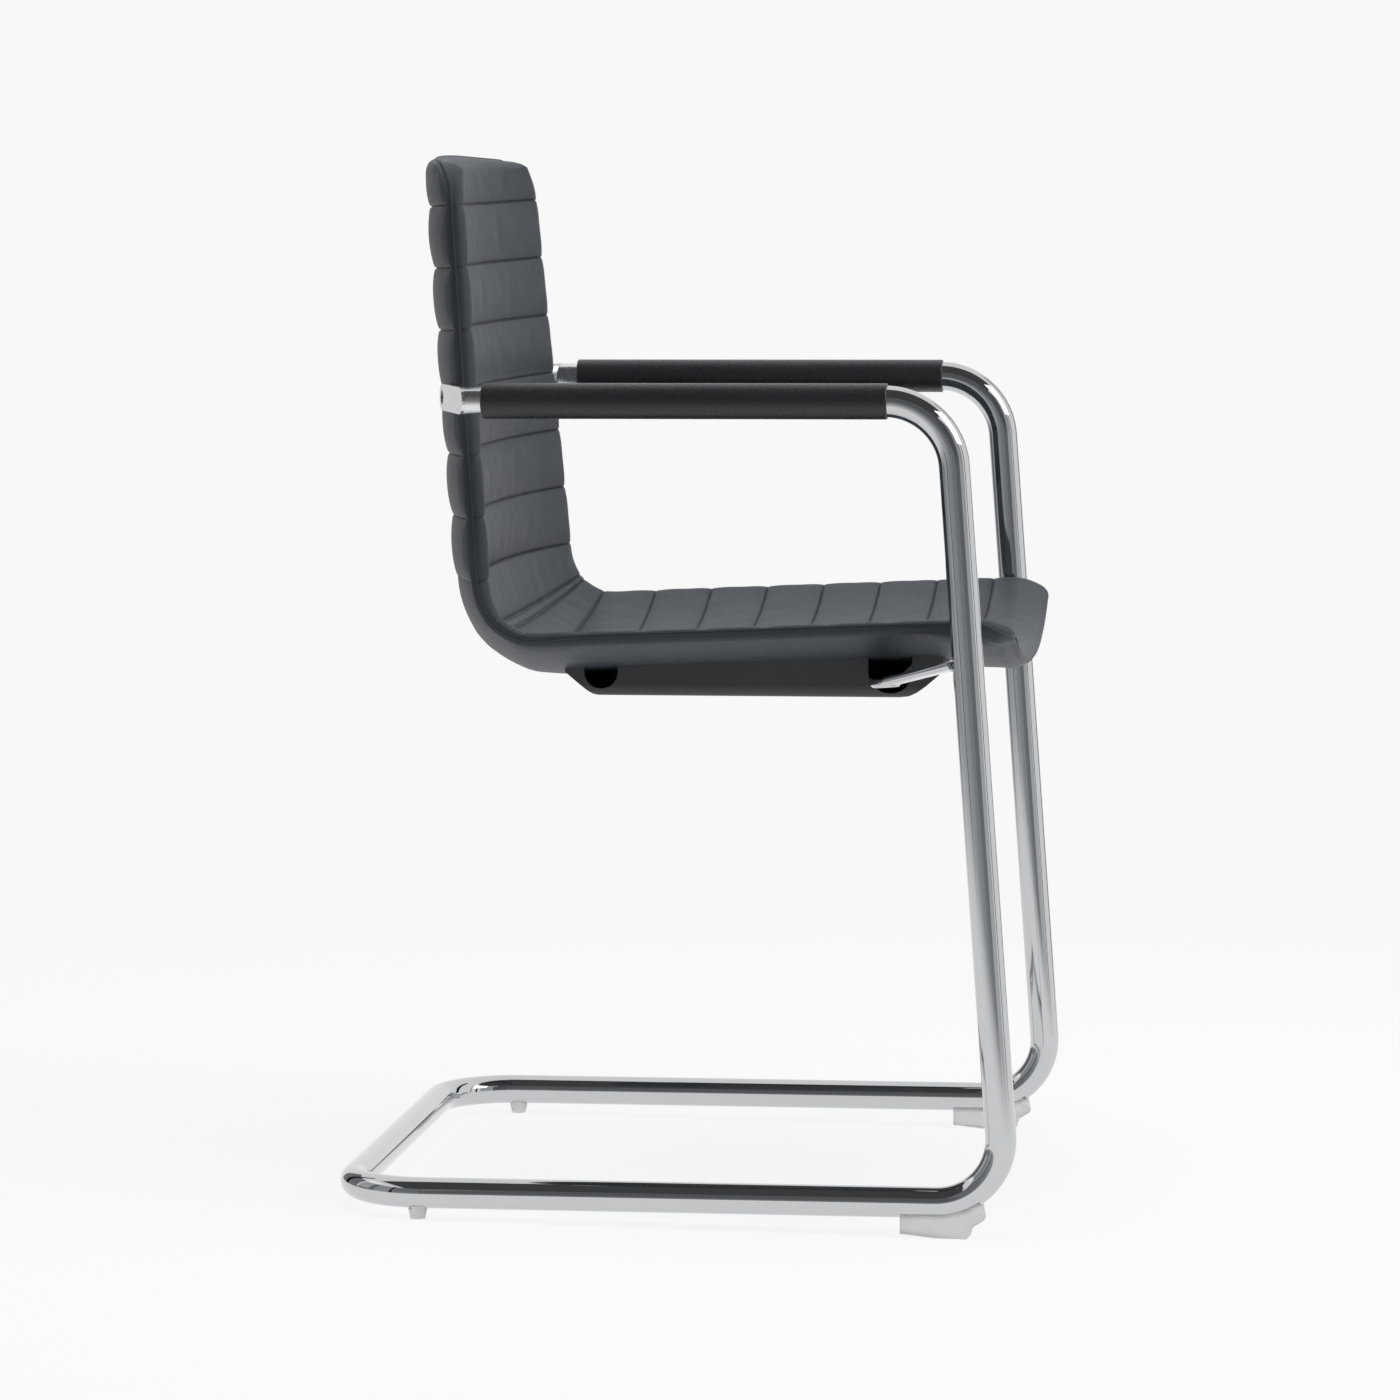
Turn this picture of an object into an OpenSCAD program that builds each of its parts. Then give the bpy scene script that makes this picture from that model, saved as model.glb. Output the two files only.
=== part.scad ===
// Cantilever armchair: one bent chrome tube carries a thin dished seat shell,
// stitched in channels, and two arm sleeves.
// Millimetres. +Z is up, the sitter faces -Y, X is left-right, the floor is z = 0.

/* [Frame] */
// outer diameter of the bent tube
tube_d = 25; // [22:0.5:30]
// wall of the tube
tube_wall = 1.7; // [1.2:0.1:2.5]
// distance between the centre lines of the two side loops
loop_w = 520; // [480:5:600]
// length of the floor loop, centre line to centre line, back tube to the foot of the leg
floor_l = 538; // [480:1:600]
// height of the arm tube's centre above the floor tube's centre
arm_h = 640; // [600:1:680]
// how far the legs lean to the back, in degrees
leg_lean = 4; // [0:0.1:8]
// centre-line bend radius at the back corners of the floor loop
corner_r = 65; // [50:1:90]
// centre-line bend radius at the foot of each leg
foot_r = 52; // [45:1:80]
// centre-line bend radius between leg and arm
top_r = 55; // [45:1:80]
// how far the floor loop rises to the front, in degrees
frame_tilt = 0.9; // [0:0.05:2]

/* [Arms] */
// outer diameter of the arm sleeve
sleeve_d = 28.6; // [27:0.1:34]
// length of the arm sleeve
sleeve_l = 324; // [250:1:360]
// distance from the leg's floor point back to the rear end of the sleeve
sleeve_back = 418; // [380:1:440]
// angle of the bracket plate to the left-right line, in degrees
plate_angle = 20.5; // [10:0.5:30]
// height and thickness of the bracket plate
plate_size = [21.5, 5]; // [3:0.5:30]

/* [Seat shell] */
// half width at the seat's ridge
seat_half = 224; // [200:1:240]
// half width at the top of the back
back_half = 188; // [170:1:230]
// depth of the dish across the width
dish = 31; // [10:1:45]
// how full the dish is, 2 is an arc and more is flatter in the middle
dish_power = 2.6; // [2:0.1:4]
// lean of the back, in degrees
back_lean = 4.45; // [0:0.05:15]
// rise of the seat to the front, in degrees
seat_rise = 2.36; // [0:0.02:6]
// length of the back along its ridge, top to the corner bend
back_l = 344; // [280:1:420]
// bend radius of the ridge between back and seat
seat_bend_r = 39.5; // [30:0.5:60]
// length of the flat seat along its ridge
seat_l = 348; // [300:1:400]
// bend radius and angle of the front lip
lip_bend = [50, 38]; // [20:1:60]
// thickness of the padded back and of the padded seat, at the seams
pad_t = [19, 16]; // [12:0.5:30]
// thickness of the moulded shell
shell_t = 6.4; // [5:0.1:12]
// height of the padding between two seams
crown = 3; // [0:0.5:6]
// distance between two seams on the back and on the seat
seam_pitch = [50.5, 49.8]; // [40:0.1:60]
// corner radius at the top of the back and at the front lip
outline_r = [60, 36]; // [20:1:80]
// diameter of the edge piping
piping_d = 3.4; // [2:0.1:6]

/* [Under the seat] */
// width of the under-seat cover
cover_w = 320; // [240:1:360]
// wall of the cover
cover_wall = 2.5; // [2:0.1:4]
// width and thickness of the seat crossbar
bar_size = [22, 7]; // [5:0.5:40]
// radius of the rounded notches in the cover's sides, rear and front
notch_r = [14, 18]; // [8:0.5:22]

/* [Feet and fasteners] */
// height of the rear glide below the tube, and of the front glide
glide_drop = [8.5, 15.4]; // [4:0.5:20]
// width of the glides
glide_w = [17, 17]; // [12:0.5:30]
// shank diameter of the bolts
bolt_d = 6; // [4:0.5:10]
// shank diameter of the cover screws
screw_d = 4; // [3:0.1:5]

/* [Hidden] */
$fn = 48;

// clearances and small laps
soft_gap = 0.3;
snug = 0.1;
lap = 1;
big = 1000;

// colours as the photograph shows them
chrome = [0.80, 0.81, 0.83];
leather = [0.34, 0.35, 0.37];
leather_dark = [0.20, 0.20, 0.21];
plastic_dark = [0.24, 0.24, 0.25];
ply = [0.62, 0.48, 0.33];
steel = [0.62, 0.63, 0.65];
clear_plastic = [0.85, 0.86, 0.87];

// the whole chair is drawn with forward distances f from the foot of the leg,
// and heights z from the floor tube's centre; mid_f puts the box's middle at Y = 0
half_w = loop_w / 2;
tube_r = tube_d / 2;
bore_r = tube_r - tube_wall;
reach_front = 7.9;
mid_f = (reach_front - floor_l - tube_r) / 2;
rear_foot_in = 62;
rear_foot_f = rear_foot_in - floor_l;
lift = tube_r + glide_drop[0] + (mid_f - rear_foot_f) * sin(frame_tilt);

function y_of(f) = mid_f - f;
function spot(x, f, z) = [x, y_of(f), z];

// sets the frame's own level on the floor's
module stand() { translate([0, 0, lift]) rotate([-frame_tilt, 0, 0]) children(); }

// frame
leg_turn = 90 + leg_lean;
top_turn = 90 - leg_lean;
foot_tan = foot_r * tan(leg_turn / 2);
top_tan = top_r * tan(top_turn / 2);
leg_len = arm_h / cos(leg_lean) - foot_tan - top_tan;
leg_top_f = -arm_h * tan(leg_lean);
arm_front_f = leg_top_f - top_tan;
arm_end_f = -sleeve_back;

// a straight round bar between two points of a side plane, hollow where bore is not 0
module side_bar(x, f1, z1, f2, z2, r, bore = 0) {
  translate(spot(x, f1, z1)) rotate([90 - atan2(z2 - z1, f2 - f1), 0, 0])
    linear_extrude(norm([f2 - f1, z2 - z1])) ring(r, bore);
}
module ring(r, bore) difference() {
  circle(r = r);
  if (bore > 0) circle(r = bore);
}
// back tube, back corners and the two floor tubes up to the feet
module floor_loop(r, bore = 0) {
  side_x = half_w - corner_r;
  translate(spot(-side_x, -floor_l, 0)) rotate([0, 90, 0]) linear_extrude(2 * side_x) ring(r, bore);
  for (s = [-1, 1]) {
    corner_bend(s, r, bore);
    side_bar(s * half_w, corner_r - floor_l, 0, -foot_tan, 0, r, bore);
  }
}
module corner_bend(s, r, bore = 0)
  translate(spot(s * (half_w - corner_r), corner_r - floor_l, 0)) rotate([0, 0, s > 0 ? 0 : 90])
    rotate_extrude(angle = 90, $fn = 96) translate([corner_r, 0]) ring(r, bore);
// one leg with the bends at its foot and its top, drawn along the leg's own line
module leg_tube(s, r, bore = 0) {
  translate(spot(s * half_w, -foot_tan * sin(leg_lean), foot_tan * cos(leg_lean)))
    rotate([-leg_lean, 0, 0]) {
      linear_extrude(leg_len) ring(r, bore);
      end_bend(foot_r, leg_turn, r, bore);
      translate([0, 0, leg_len]) mirror([0, 0, 1]) end_bend(top_r, top_turn, r, bore);
    }
}
// a bend that starts at the origin, heads down and turns to the back
module end_bend(bend_r, turn, r, bore) translate([0, bend_r, 0]) rotate([0, 90, 0]) rotate([0, 0, -90])
  rotate_extrude(angle = turn, $fn = 96) translate([bend_r, 0]) ring(r, bore);
module arm_tube(s, r, bore = 0)
  side_bar(s * half_w, arm_end_f, arm_h, arm_front_f, arm_h, r, bore);

module frame_floor_loop() {
  color(chrome) stand() difference() {
    floor_loop(tube_r, bore_r);
    for (s = [-1, 1]) for (f = [rear_foot_f, front_stem_f])
      translate(spot(s * half_w, f, -tube_r - lap)) cylinder(h = tube_r, r = stem_r + snug);
  }
}
module frame_leg_right() color(chrome) stand() leg_tube(-1, tube_r, bore_r);
module frame_leg_left() color(chrome) stand() leg_tube(1, tube_r, bore_r);
module frame_arm_right() color(chrome) stand() arm_tube(-1, tube_r, bore_r);
module frame_arm_left() color(chrome) stand() arm_tube(1, tube_r, bore_r);

// arm sleeves and brackets
sleeve_r = sleeve_d / 2;
sleeve_wrap = sleeve_r - tube_r - snug;

module arm_sleeve(s) {
  edge = sleeve_wrap / 2;
  color(leather_dark) stand() translate(spot(s * half_w, arm_end_f, arm_h))
    rotate([90, 0, 0]) rotate_extrude($fn = 96) translate([tube_r + snug, 0])
      polygon([[0, 0], [sleeve_wrap - edge, 0], [sleeve_wrap, edge],
        [sleeve_wrap, sleeve_l - edge], [sleeve_wrap - edge, sleeve_l], [0, sleeve_l]]);
}
module arm_sleeve_right() arm_sleeve(-1);
module arm_sleeve_left() arm_sleeve(1);

// the shell's surface
// the ridge line runs down the back, round the bend, along the seat and over the lip;
// u is the distance along it, h the heading, n the side the sitter is on
top_f = -445.9;
top_z = 830;
head_back = back_lean - 90;
head_seat = seat_rise;
bend_turn = head_seat - head_back;
bend_l = seat_bend_r * bend_turn * PI / 180;
lip_r = lip_bend[0];
lip_l = lip_r * lip_bend[1] * PI / 180;
u_bend = back_l;
u_seat = u_bend + bend_l;
u_lip = u_seat + seat_l;
u_end = u_lip + lip_l;

function way(h) = [cos(h), sin(h)];
function across(h) = [-sin(h), cos(h)];
function heading(u) = u <= u_bend ? head_back
  : u <= u_seat ? head_back + bend_turn * (u - u_bend) / bend_l
  : u <= u_lip ? head_seat : head_seat - (u - u_lip) / lip_r * 180 / PI;
ridge_bend = [top_f, top_z] + back_l * way(head_back);
bend_mid = ridge_bend + seat_bend_r * across(head_back);
ridge_seat = bend_mid - seat_bend_r * across(head_seat);
ridge_lip = ridge_seat + seat_l * way(head_seat);
lip_mid = ridge_lip - lip_r * across(head_seat);
function ridge(u) = u <= u_bend ? [top_f, top_z] + u * way(head_back)
  : u <= u_seat ? bend_mid - seat_bend_r * across(heading(u))
  : u <= u_lip ? ridge_seat + (u - u_seat) * way(head_seat)
  : lip_mid + lip_r * across(heading(u));

function mix(a, b, share) = a + (b - a) * min(1, max(0, share));
// half width at u, with the rounded corners of the outline; b is the distance from the end
function corner_in(b, r) = b < r ? r - sqrt(max(0, r * r - (r - b) * (r - b))) : 0;
welt_out = 6;
// the outline's end edges meet the corner arcs this far in, so that the last rows stay even
end_cut = 1;
function half_at(u) = mix(back_half, seat_half, u / u_bend)
  - corner_in(max(end_cut, u + welt_out), outline_r[0])
  - corner_in(max(end_cut, u_end + welt_out - u), outline_r[1]);
function dish_at(share) = dish * (1 - pow(abs(share), dish_power));
// a point x to the side, t above the surface of the seams; the lip sinks square to the seat
function skin_at(u, x, t) = let (
    share = min(1, abs(x) / half_at(u)),
    p = ridge(u) + t * across(heading(u)) - dish_at(share) * across(u > u_lip ? head_seat : heading(u)))
  spot(x, p[0], p[1]);

// thickness of the padded edge and middle, and the height of the welt
edge_thin = 3;
function thick_at(u) = mix(pad_t[0], pad_t[1], (u - u_bend) / bend_l);
welt_t = [-10, -2.6, -7];
function welt_at(u) = u < u_lip ? mix(welt_t[0], welt_t[1], (u - u_bend) / (1.4 * bend_l))
  : mix(welt_t[1], welt_t[2], (u - u_lip) / lip_l);
front_under = -4.5;
shell_top = front_under - soft_gap;
shell_low = shell_top - shell_t;
rear_over = shell_low - soft_gap;

// stations: the ends, every seam and two rows between seams
first_seam = 34;
bend_seam_shares = [0.375, 0.79];
seat_seam = 33;
back_seams = 7;
seat_seams = 7;
seams = concat([for (i = [0:back_seams - 1]) first_seam + i * seam_pitch[0]],
  [for (s = bend_seam_shares) u_bend + s * bend_l],
  [for (i = [0:seat_seams - 1]) u_seat + seat_seam + i * seam_pitch[1]]);
row_shares = [0, 0.3, 0.7];
end_outer = [-6, -2, 3.5, 3.7];
end_inner = [4, 8];
mid_rows = [for (i = [0:len(seams) - 2]) for (s = row_shares)
  seams[i] + s * (seams[i + 1] - seams[i])];
shell_rows = concat(end_inner, mid_rows, [seams[len(seams) - 1]],
  [for (i = [len(end_inner) - 1:-1:0]) u_end - end_inner[i]]);
pad_rows = concat(end_outer, [for (i = [1:len(shell_rows) - 2]) shell_rows[i]],
  [for (i = [len(end_outer) - 1:-1:0]) u_end - end_outer[i]]);

function end_gap(u) = min(u, u_end - u);
// how far the padding stands up at u: nothing at the seams and the ends
function is_seam(u) = len([for (s = seams) if (abs(s - u) < 0.01) s]) > 0;
open_gaps = [-5, 0, 8];
open_shares = [0.1, 0.65, 0.92];
function open_share(gap) = gap <= open_gaps[0] ? open_shares[0] : gap <= open_gaps[1] ? open_shares[1]
  : gap < open_gaps[2] ? open_shares[2] : 1;
function puff(u) = is_seam(u) ? 0 : crown * open_share(end_gap(u));

// how far the shell's edge lies inside the ridge
shell_in = 9;
// columns across the width: shares of the half width or distances from its edge
mid_cols = [-0.75, -0.4, 0, 0.4, 0.75];
edge_cols = [6, 2, -8];
edge_open = [0.1, 0.65, 1];
function outer_x(u) = let (w = half_at(u)) concat([for (e = edge_cols) -w - e],
  [for (c = mid_cols) c * w], [for (i = [2:-1:0]) w + edge_cols[i]]);
lat_open = concat(edge_open, [for (c = mid_cols) 1], [for (i = [2:-1:0]) edge_open[i]]);
lap_edge = 4.2;
in_edge = [lap_edge, soft_gap - shell_in, soft_gap - shell_in];
lap_cols = [lap_edge, edge_cols[1], edge_cols[2]];
function inner_x(u) = let (w = half_at(u), edge = lap_row(u) ? lap_cols : in_edge)
  concat([for (e = edge) -w - e], [for (c = mid_cols) c * w], [for (i = [2:-1:0]) w + edge[i]]);
function lap_row(u) = end_gap(u) < (end_outer[2] + end_outer[3]) / 2;

function front_loop(u) = let (xo = outer_x(u), xi = inner_x(u), tw = welt_at(u), n = len(xo))
  concat([for (j = [0:n - 1]) skin_at(u, xo[j],
      mix(tw, puff(u), min(lat_open[j], open_share(end_gap(u)))))],
    [for (j = [n - 1:-1:0]) skin_at(u, xi[j],
      lap_row(u) || j < 2 || j > n - 3 ? tw - (welt_step - soft_gap) : front_under)]);
welt_step = 0.3;
edge_roll = 0.5;
function rear_full(u, x) = let (t = thick_at(u)) -mix(t - edge_thin, t,
    dish_at(min(1, abs(x) / half_at(u))) / dish) - (u < u_bend ? puff(u) : 0);
function rear_loop(u) = let (xo = outer_x(u), xi = inner_x(u), tw = welt_at(u) - welt_step, n = len(xo))
  concat([for (j = [0:n - 1]) skin_at(u, xi[j],
      lap_row(u) || j < 2 || j > n - 3 ? tw : rear_over)],
    [for (j = [n - 1:-1:0]) skin_at(u, xo[j],
      mix(tw - edge_roll, rear_full(u, xo[j]), min(lat_open[j], open_share(end_gap(u)))))]);
function shell_x(u) = let (w = half_at(u)) concat([shell_in - w], [for (c = mid_cols) c * w], [w - shell_in]);
function shell_loop(u) = let (xs = shell_x(u), n = len(xs))
  concat([for (j = [0:n - 1]) skin_at(u, xs[j], shell_top)],
    [for (j = [n - 1:-1:0]) skin_at(u, xs[j], shell_low)]);

// closed skin over a list of rings with the same number of points, strip caps at both ends;
// each four-sided face is parted along its shorter diagonal
module skin(rings) {
  m = len(rings);
  n = len(rings[0]);
  half = n / 2;
  points = [for (r = rings) for (p = r) p];
  walls = [for (i = [0:m - 2]) for (j = [0:n - 1]) let (k = (j + 1) % n, a = i * n, b = (i + 1) * n)
    each norm(points[a + j] - points[b + k]) < norm(points[a + k] - points[b + j]) - snug
      ? [[a + j, b + j, b + k], [a + j, b + k, a + k]] : [[a + j, b + j, a + k], [b + j, b + k, a + k]]];
  caps = [for (j = [0:half - 2]) let (k = n - 1 - j) each [
    [j, j + 1, k - 1], [j, k - 1, k],
    [(m - 1) * n + j, (m - 1) * n + k - 1, (m - 1) * n + j + 1],
    [(m - 1) * n + j, (m - 1) * n + k, (m - 1) * n + k - 1]]];
  polyhedron(points, concat(walls, caps));
}

module seat_shell() {
  color(ply) stand() difference() {
    skin([for (u = shell_rows) shell_loop(u)]);
    for (s = [-1, 1]) {
      at_arm_bolt(s) { nut_seat(); translate([0, 0, -big_pad]) cylinder(h = 2 * big_pad, r = nut_r + snug); }
      at_seat_bolt(s) { nut_seat(); translate([0, 0, -big_pad]) cylinder(h = 2 * big_pad, r = nut_r + snug); }
    }
    screw_rods(screw_d / 2 + snug, 0, lap);
  }
}
module front_pad() color(leather) stand() skin([for (u = pad_rows) front_loop(u)]);
module rear_pad() {
  color(leather) stand() difference() {
    skin([for (u = pad_rows) rear_loop(u)]);
    for (s = [-1, 1]) {
      at_arm_bolt(s) translate([0, 0, -big_pad]) cylinder(h = big_pad, r = bolt_d / 2 + soft_gap);
      at_seat_bolt(s) translate([0, 0, -big_pad]) cylinder(h = big_pad, r = bolt_d / 2 + soft_gap);
    }
    screw_rods(screw_d / 2 + soft_gap, 0, lap);
  }
}

// the welt cord that closes the seam round the whole outline
piping_r = piping_d / 2;
cord_sides = 6;
cord_rows = [for (i = [0:len(pad_rows) - 1])
  if (abs(end_gap(pad_rows[i]) - end_outer[2]) > snug) pad_rows[i]];
// a point of the outline e = [u, x], moved out by d = [along, sideways]
function cord_point(e, d) = let (w = way(heading(e[0])))
  skin_at(e[0], e[1], welt_at(e[0]) - welt_step / 2) + [d[1], -d[0] * w[0], d[0] * w[1]];
function cord_ring(i, pts) = let (n = len(pts), p = pts[i],
    d = pts[(i + 1) % n] - pts[(i + n - 1) % n], t = d / norm(d),
    out = cross(t, [0, cord_up(p)[0], cord_up(p)[1]]), a = out / norm(out), b = cross(t, a))
  [for (k = [0:cord_sides - 1]) let (w = 360 * k / cord_sides)
    p + piping_r * (cos(w) * a + sin(w) * b)];
// the sitter's side at a point of the chair's side view, as [y, z]
function cord_up(p) = let (z = p[2], h = z > ridge_bend[1] ? head_back
    : let (f = mid_f - p[1]) f > ridge_seat[0] ? (f > ridge_lip[0] ? head_seat - (f - ridge_lip[0]) : head_seat)
    : head_back + bend_turn / 2) [-across(h)[0], across(h)[1]];
// the pads' outline as [u, x], and how its points move out by gap
function end_cols(u) = let (w = half_at(u)) concat([w + edge_cols[2]],
  [for (i = [len(mid_cols) - 1:-1:0]) mid_cols[i] * w], [-w - edge_cols[2]]);
function outline_pts() = let (m = len(cord_rows), lo = cord_rows[0], hi = cord_rows[m - 1],
    front = end_cols(hi), top = end_cols(lo))
  concat([for (u = cord_rows) [u, half_at(u) + welt_out]], [for (x = front) [hi, x]],
    [for (i = [m - 1:-1:0]) [cord_rows[i], -half_at(cord_rows[i]) - welt_out]],
    [for (i = [len(top) - 1:-1:0]) [lo, top[i]]]);
function side_out(a, b) = let (d = (b - a) / norm(b - a)) [-d[1], d[0]];
function outset(pts, i, gap) = let (n = len(pts), p = pts[i],
    m = side_out(pts[(i + n - 1) % n], p) + side_out(p, pts[(i + 1) % n]))
  m * 2 * gap / (m * m);
module edge_piping() {
  edge = outline_pts();
  path = [for (i = [0:len(edge) - 1]) cord_point(edge[i], outset(edge, i, soft_gap + piping_r))];
  n = len(path);
  points = [for (i = [0:n - 1]) each cord_ring(i, path)];
  faces = [for (i = [0:n - 1]) for (k = [0:cord_sides - 1])
    let (a = i * cord_sides, b = ((i + 1) % n) * cord_sides, k2 = (k + 1) % cord_sides)
    each [[a + k, b + k2, b + k], [a + k, a + k2, b + k2]]];
  color(leather_dark) stand() polyhedron(points, faces);
}

// arm bolts: the plate's bolt goes through the padding into a nut in the shell
arm_bolt_share = 0.8956;
bolt_r = bolt_d / 2;
head_r = bolt_d * 0.92;
head_h = bolt_d * 0.55;
sink_gap = 0.3;
socket_r = bolt_d * 0.32;
// how deep the arm bolt's head sits in the plate
bolt_sink = head_h + sink_gap;
nut_r = 4;
nut_h = 3.2;
flange_r = 8;
flange_h = 1.2;
flange_z = 1.3;
big_pad = 14;
shell_mid = shell_top - shell_t / 2;
arm_drop = dish_at(arm_bolt_share) - shell_mid;
arm_u = (top_z - arm_h - arm_drop * sin(back_lean)) / cos(back_lean);
arm_bolt_x = arm_bolt_share * half_at(arm_u);
plate_off = 14.2;
// local z runs from the plate into the shell, local x along the plate to the middle
module at_arm_bolt(s) {
  mirror([s < 0 ? 1 : 0, 0, 0]) translate(skin_at(arm_u, arm_bolt_x, shell_mid))
    rotate([0, 0, 180 - plate_angle]) rotate([-90, 0, 0]) children();
}
plate_end_x = (arm_bolt_x + plate_off * sin(plate_angle) - half_w) / cos(plate_angle);
module nut_seat() translate([0, 0, flange_z]) cylinder(h = big_pad, r = flange_r + snug);
module t_nut() difference() {
  union() {
    translate([0, 0, flange_z - nut_h]) cylinder(h = nut_h + flange_h / 2, r = nut_r);
    translate([0, 0, flange_z]) cylinder(h = flange_h, r = flange_r);
  }
  translate([0, 0, -big_pad]) cylinder(h = 2 * big_pad, r = bolt_r + snug);
}
module bolt(under, tip) {
  difference() {
    union() {
      translate([0, 0, under - head_h]) cylinder(h = head_h, r = head_r);
      translate([0, 0, under - head_h / 2]) cylinder(h = tip - under + head_h / 2, r = bolt_r);
    }
    translate([0, 0, under - head_h - lap]) cylinder(h = lap + head_h * 0.6, r = socket_r, $fn = 6);
  }
}
module arm_bolts() color(steel) stand() for (s = [-1, 1]) at_arm_bolt(s)
  bolt(bolt_sink - plate_off - plate_size[1] / 2, flange_z + flange_h / 2);
module arm_tnuts() color(steel) stand() for (s = [-1, 1]) at_arm_bolt(s) t_nut();

// arm brackets: a round spigot in the tube's end and a flat plate turned inwards
spigot_in = 35;
spigot_r = bore_r - snug;
function slot_points(len_x, r, steps = 12) = concat(
  [for (i = [0:steps]) let (a = -90 + 180 * i / steps) [len_x + r * cos(a), r * sin(a)]],
  [for (i = [0:steps]) let (a = 90 + 180 * i / steps) [r * cos(a), r * sin(a)]]);
module arm_bracket(s) {
  r = plate_size[0] / 2;
  t = plate_size[1];
  color(chrome) stand() {
    difference() {
      union() {
        at_arm_bolt(s) translate([plate_end_x, 0, -plate_off - t / 2])
          linear_extrude(t) polygon(slot_points(-plate_end_x, r));
        spigot(s);
      }
      at_arm_bolt(s) {
        translate([0, 0, -big_pad - plate_off]) cylinder(h = 2 * big_pad, r = bolt_r + snug);
        translate([0, 0, -plate_off - t / 2 - lap]) cylinder(h = lap + bolt_sink, r = head_r + 2 * snug);
      }
    }
  }
}
module spigot(s) difference() {
  translate(spot(s * half_w, arm_end_f + spigot_in, arm_h)) rotate([-90, 0, 0])
    cylinder(h = spigot_in + spigot_back, r = spigot_r);
  at_arm_bolt(s) translate([plate_end_x - spigot_back, -spigot_back, -plate_off - 2 * spigot_back])
    cube(2 * spigot_back);
}
spigot_back = 45;
module arm_bracket_right() arm_bracket(-1);
module arm_bracket_left() arm_bracket(1);

// crossbar: bent flat bar welded between the legs
bar_f = -105;
seat_bolt_x = 50;
bar_w = bar_size[0];
bar_t = bar_size[1];
function seat_z(f) = ridge_seat[1] + (f - ridge_seat[0]) * tan(seat_rise);
function belly_z(f) = seat_z(f) - (pad_t[1] + dish) / cos(seat_rise);
bar_top = belly_z(bar_f - bar_w / 2) - soft_gap;
knee_x = 200;
bar_leg_z = 434;
bar_leg_x = half_w;
module seat_crossbar() {
  leg_f = -bar_leg_z * tan(leg_lean);
  dx = bar_leg_x - knee_x;
  dy = y_of(leg_f) - y_of(bar_f);
  dz = bar_leg_z - bar_top + bar_t / 2;
  color(chrome) stand() difference() {
    union() {
      translate(spot(-knee_x, bar_f + bar_w / 2, bar_top - bar_t)) cube([2 * knee_x, bar_w, bar_t]);
      for (s = [-1, 1]) mirror([s < 0 ? 1 : 0, 0, 0]) translate(spot(knee_x, bar_f, bar_top - bar_t / 2)) {
        translate([0, 0, -bar_t / 2]) cylinder(h = bar_t, r = bar_w / 2);
        rotate([0, 0, atan2(dy, dx)]) rotate([0, -atan2(dz, norm([dx, dy])), 0])
          translate([0, -bar_w / 2, -bar_t / 2]) cube([norm([dx, dy, dz]), bar_w, bar_t]);
      }
    }
    for (s = [-1, 1]) {
      leg_tube(s, tube_r + snug);
      at_seat_bolt(s) translate([0, 0, -3 * big_pad]) cylinder(h = 3 * big_pad, r = bolt_r + snug);
    }
  }
}
module at_seat_bolt(s) translate(spot(s * seat_bolt_x, bar_f,
  seat_z(bar_f) + (shell_mid - dish_at(seat_bolt_x / seat_half)) / cos(seat_rise))) children();
bolt_under = bar_top - bar_t - seat_z(bar_f) - (shell_mid - dish_at(seat_bolt_x / seat_half)) / cos(seat_rise);
module seat_bolts() color(steel) stand() for (s = [-1, 1]) at_seat_bolt(s)
  bolt(bolt_under, flange_z + flange_h / 2);
module seat_tnuts() color(steel) stand() for (s = [-1, 1]) at_seat_bolt(s) t_nut();

// under-seat cover: a shallow tray cut to the belly of the seat
cover_rear_f = -368;
cover_front_f = -58.5;
cover_low = 395;
cover_rear_run = 24.5;
cover_front_run = 35;
cover_rear_z = 414.5;
cover_front_z = 417;
cover_high = 445;
cover_round = 9;
notch_ahead = 3.5;
notch_f = [-338.5, bar_f + notch_ahead];
notch_low = [401, 398.5];
// the cover's rounded rear and front slopes, as shares of their run and rise
rear_slope = [[0, 1], [0.42, 0.55], [0.72, 0.24], [0.9, 0.08], [1.1, 0]];
front_slope = [[-0.06, 0], [0.2, 0.06], [0.4, 0.22], [0.6, 0.45], [0.8, 0.72], [1, 1]];
function side_outline(w) = concat([[cover_rear_f + w, cover_high]],
  [for (p = rear_slope) [cover_rear_f + cover_rear_run * p[0] + w * (1 - p[0] / 2),
    cover_low + (cover_rear_z - cover_low) * p[1] + w * (1 - p[1] * 0.7)]],
  [for (p = front_slope) [cover_front_f - cover_front_run * (1 - p[0]) - w * max(0, p[0]),
    cover_low + (cover_front_z - cover_low) * p[1] + w * (1 - p[1] * 0.4)]],
  [[cover_front_f - w, cover_high]]);
function cross_outline(w) = let (h = cover_w / 2 - w, r = cover_round - w, z = cover_low + w)
  concat([[h, cover_high]], [for (a = [0:15:90]) [h - r + r * cos(a), z + r - r * sin(a)]],
    [for (a = [90:-15:0]) [-h + r - r * cos(a), z + r - r * sin(a)]], [[-h, cover_high]]);
module tray(w) intersection() {
  translate([-cover_w, mid_f, 0]) rotate([90, 0, 90]) linear_extrude(2 * cover_w)
    polygon([for (p = side_outline(w)) [-p[0], p[1]]]);
  translate([0, y_of(cover_rear_f - lap), 0]) rotate([90, 0, 0])
    linear_extrude(cover_front_f - cover_rear_f + 2 * lap) polygon(cross_outline(w));
}
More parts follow.
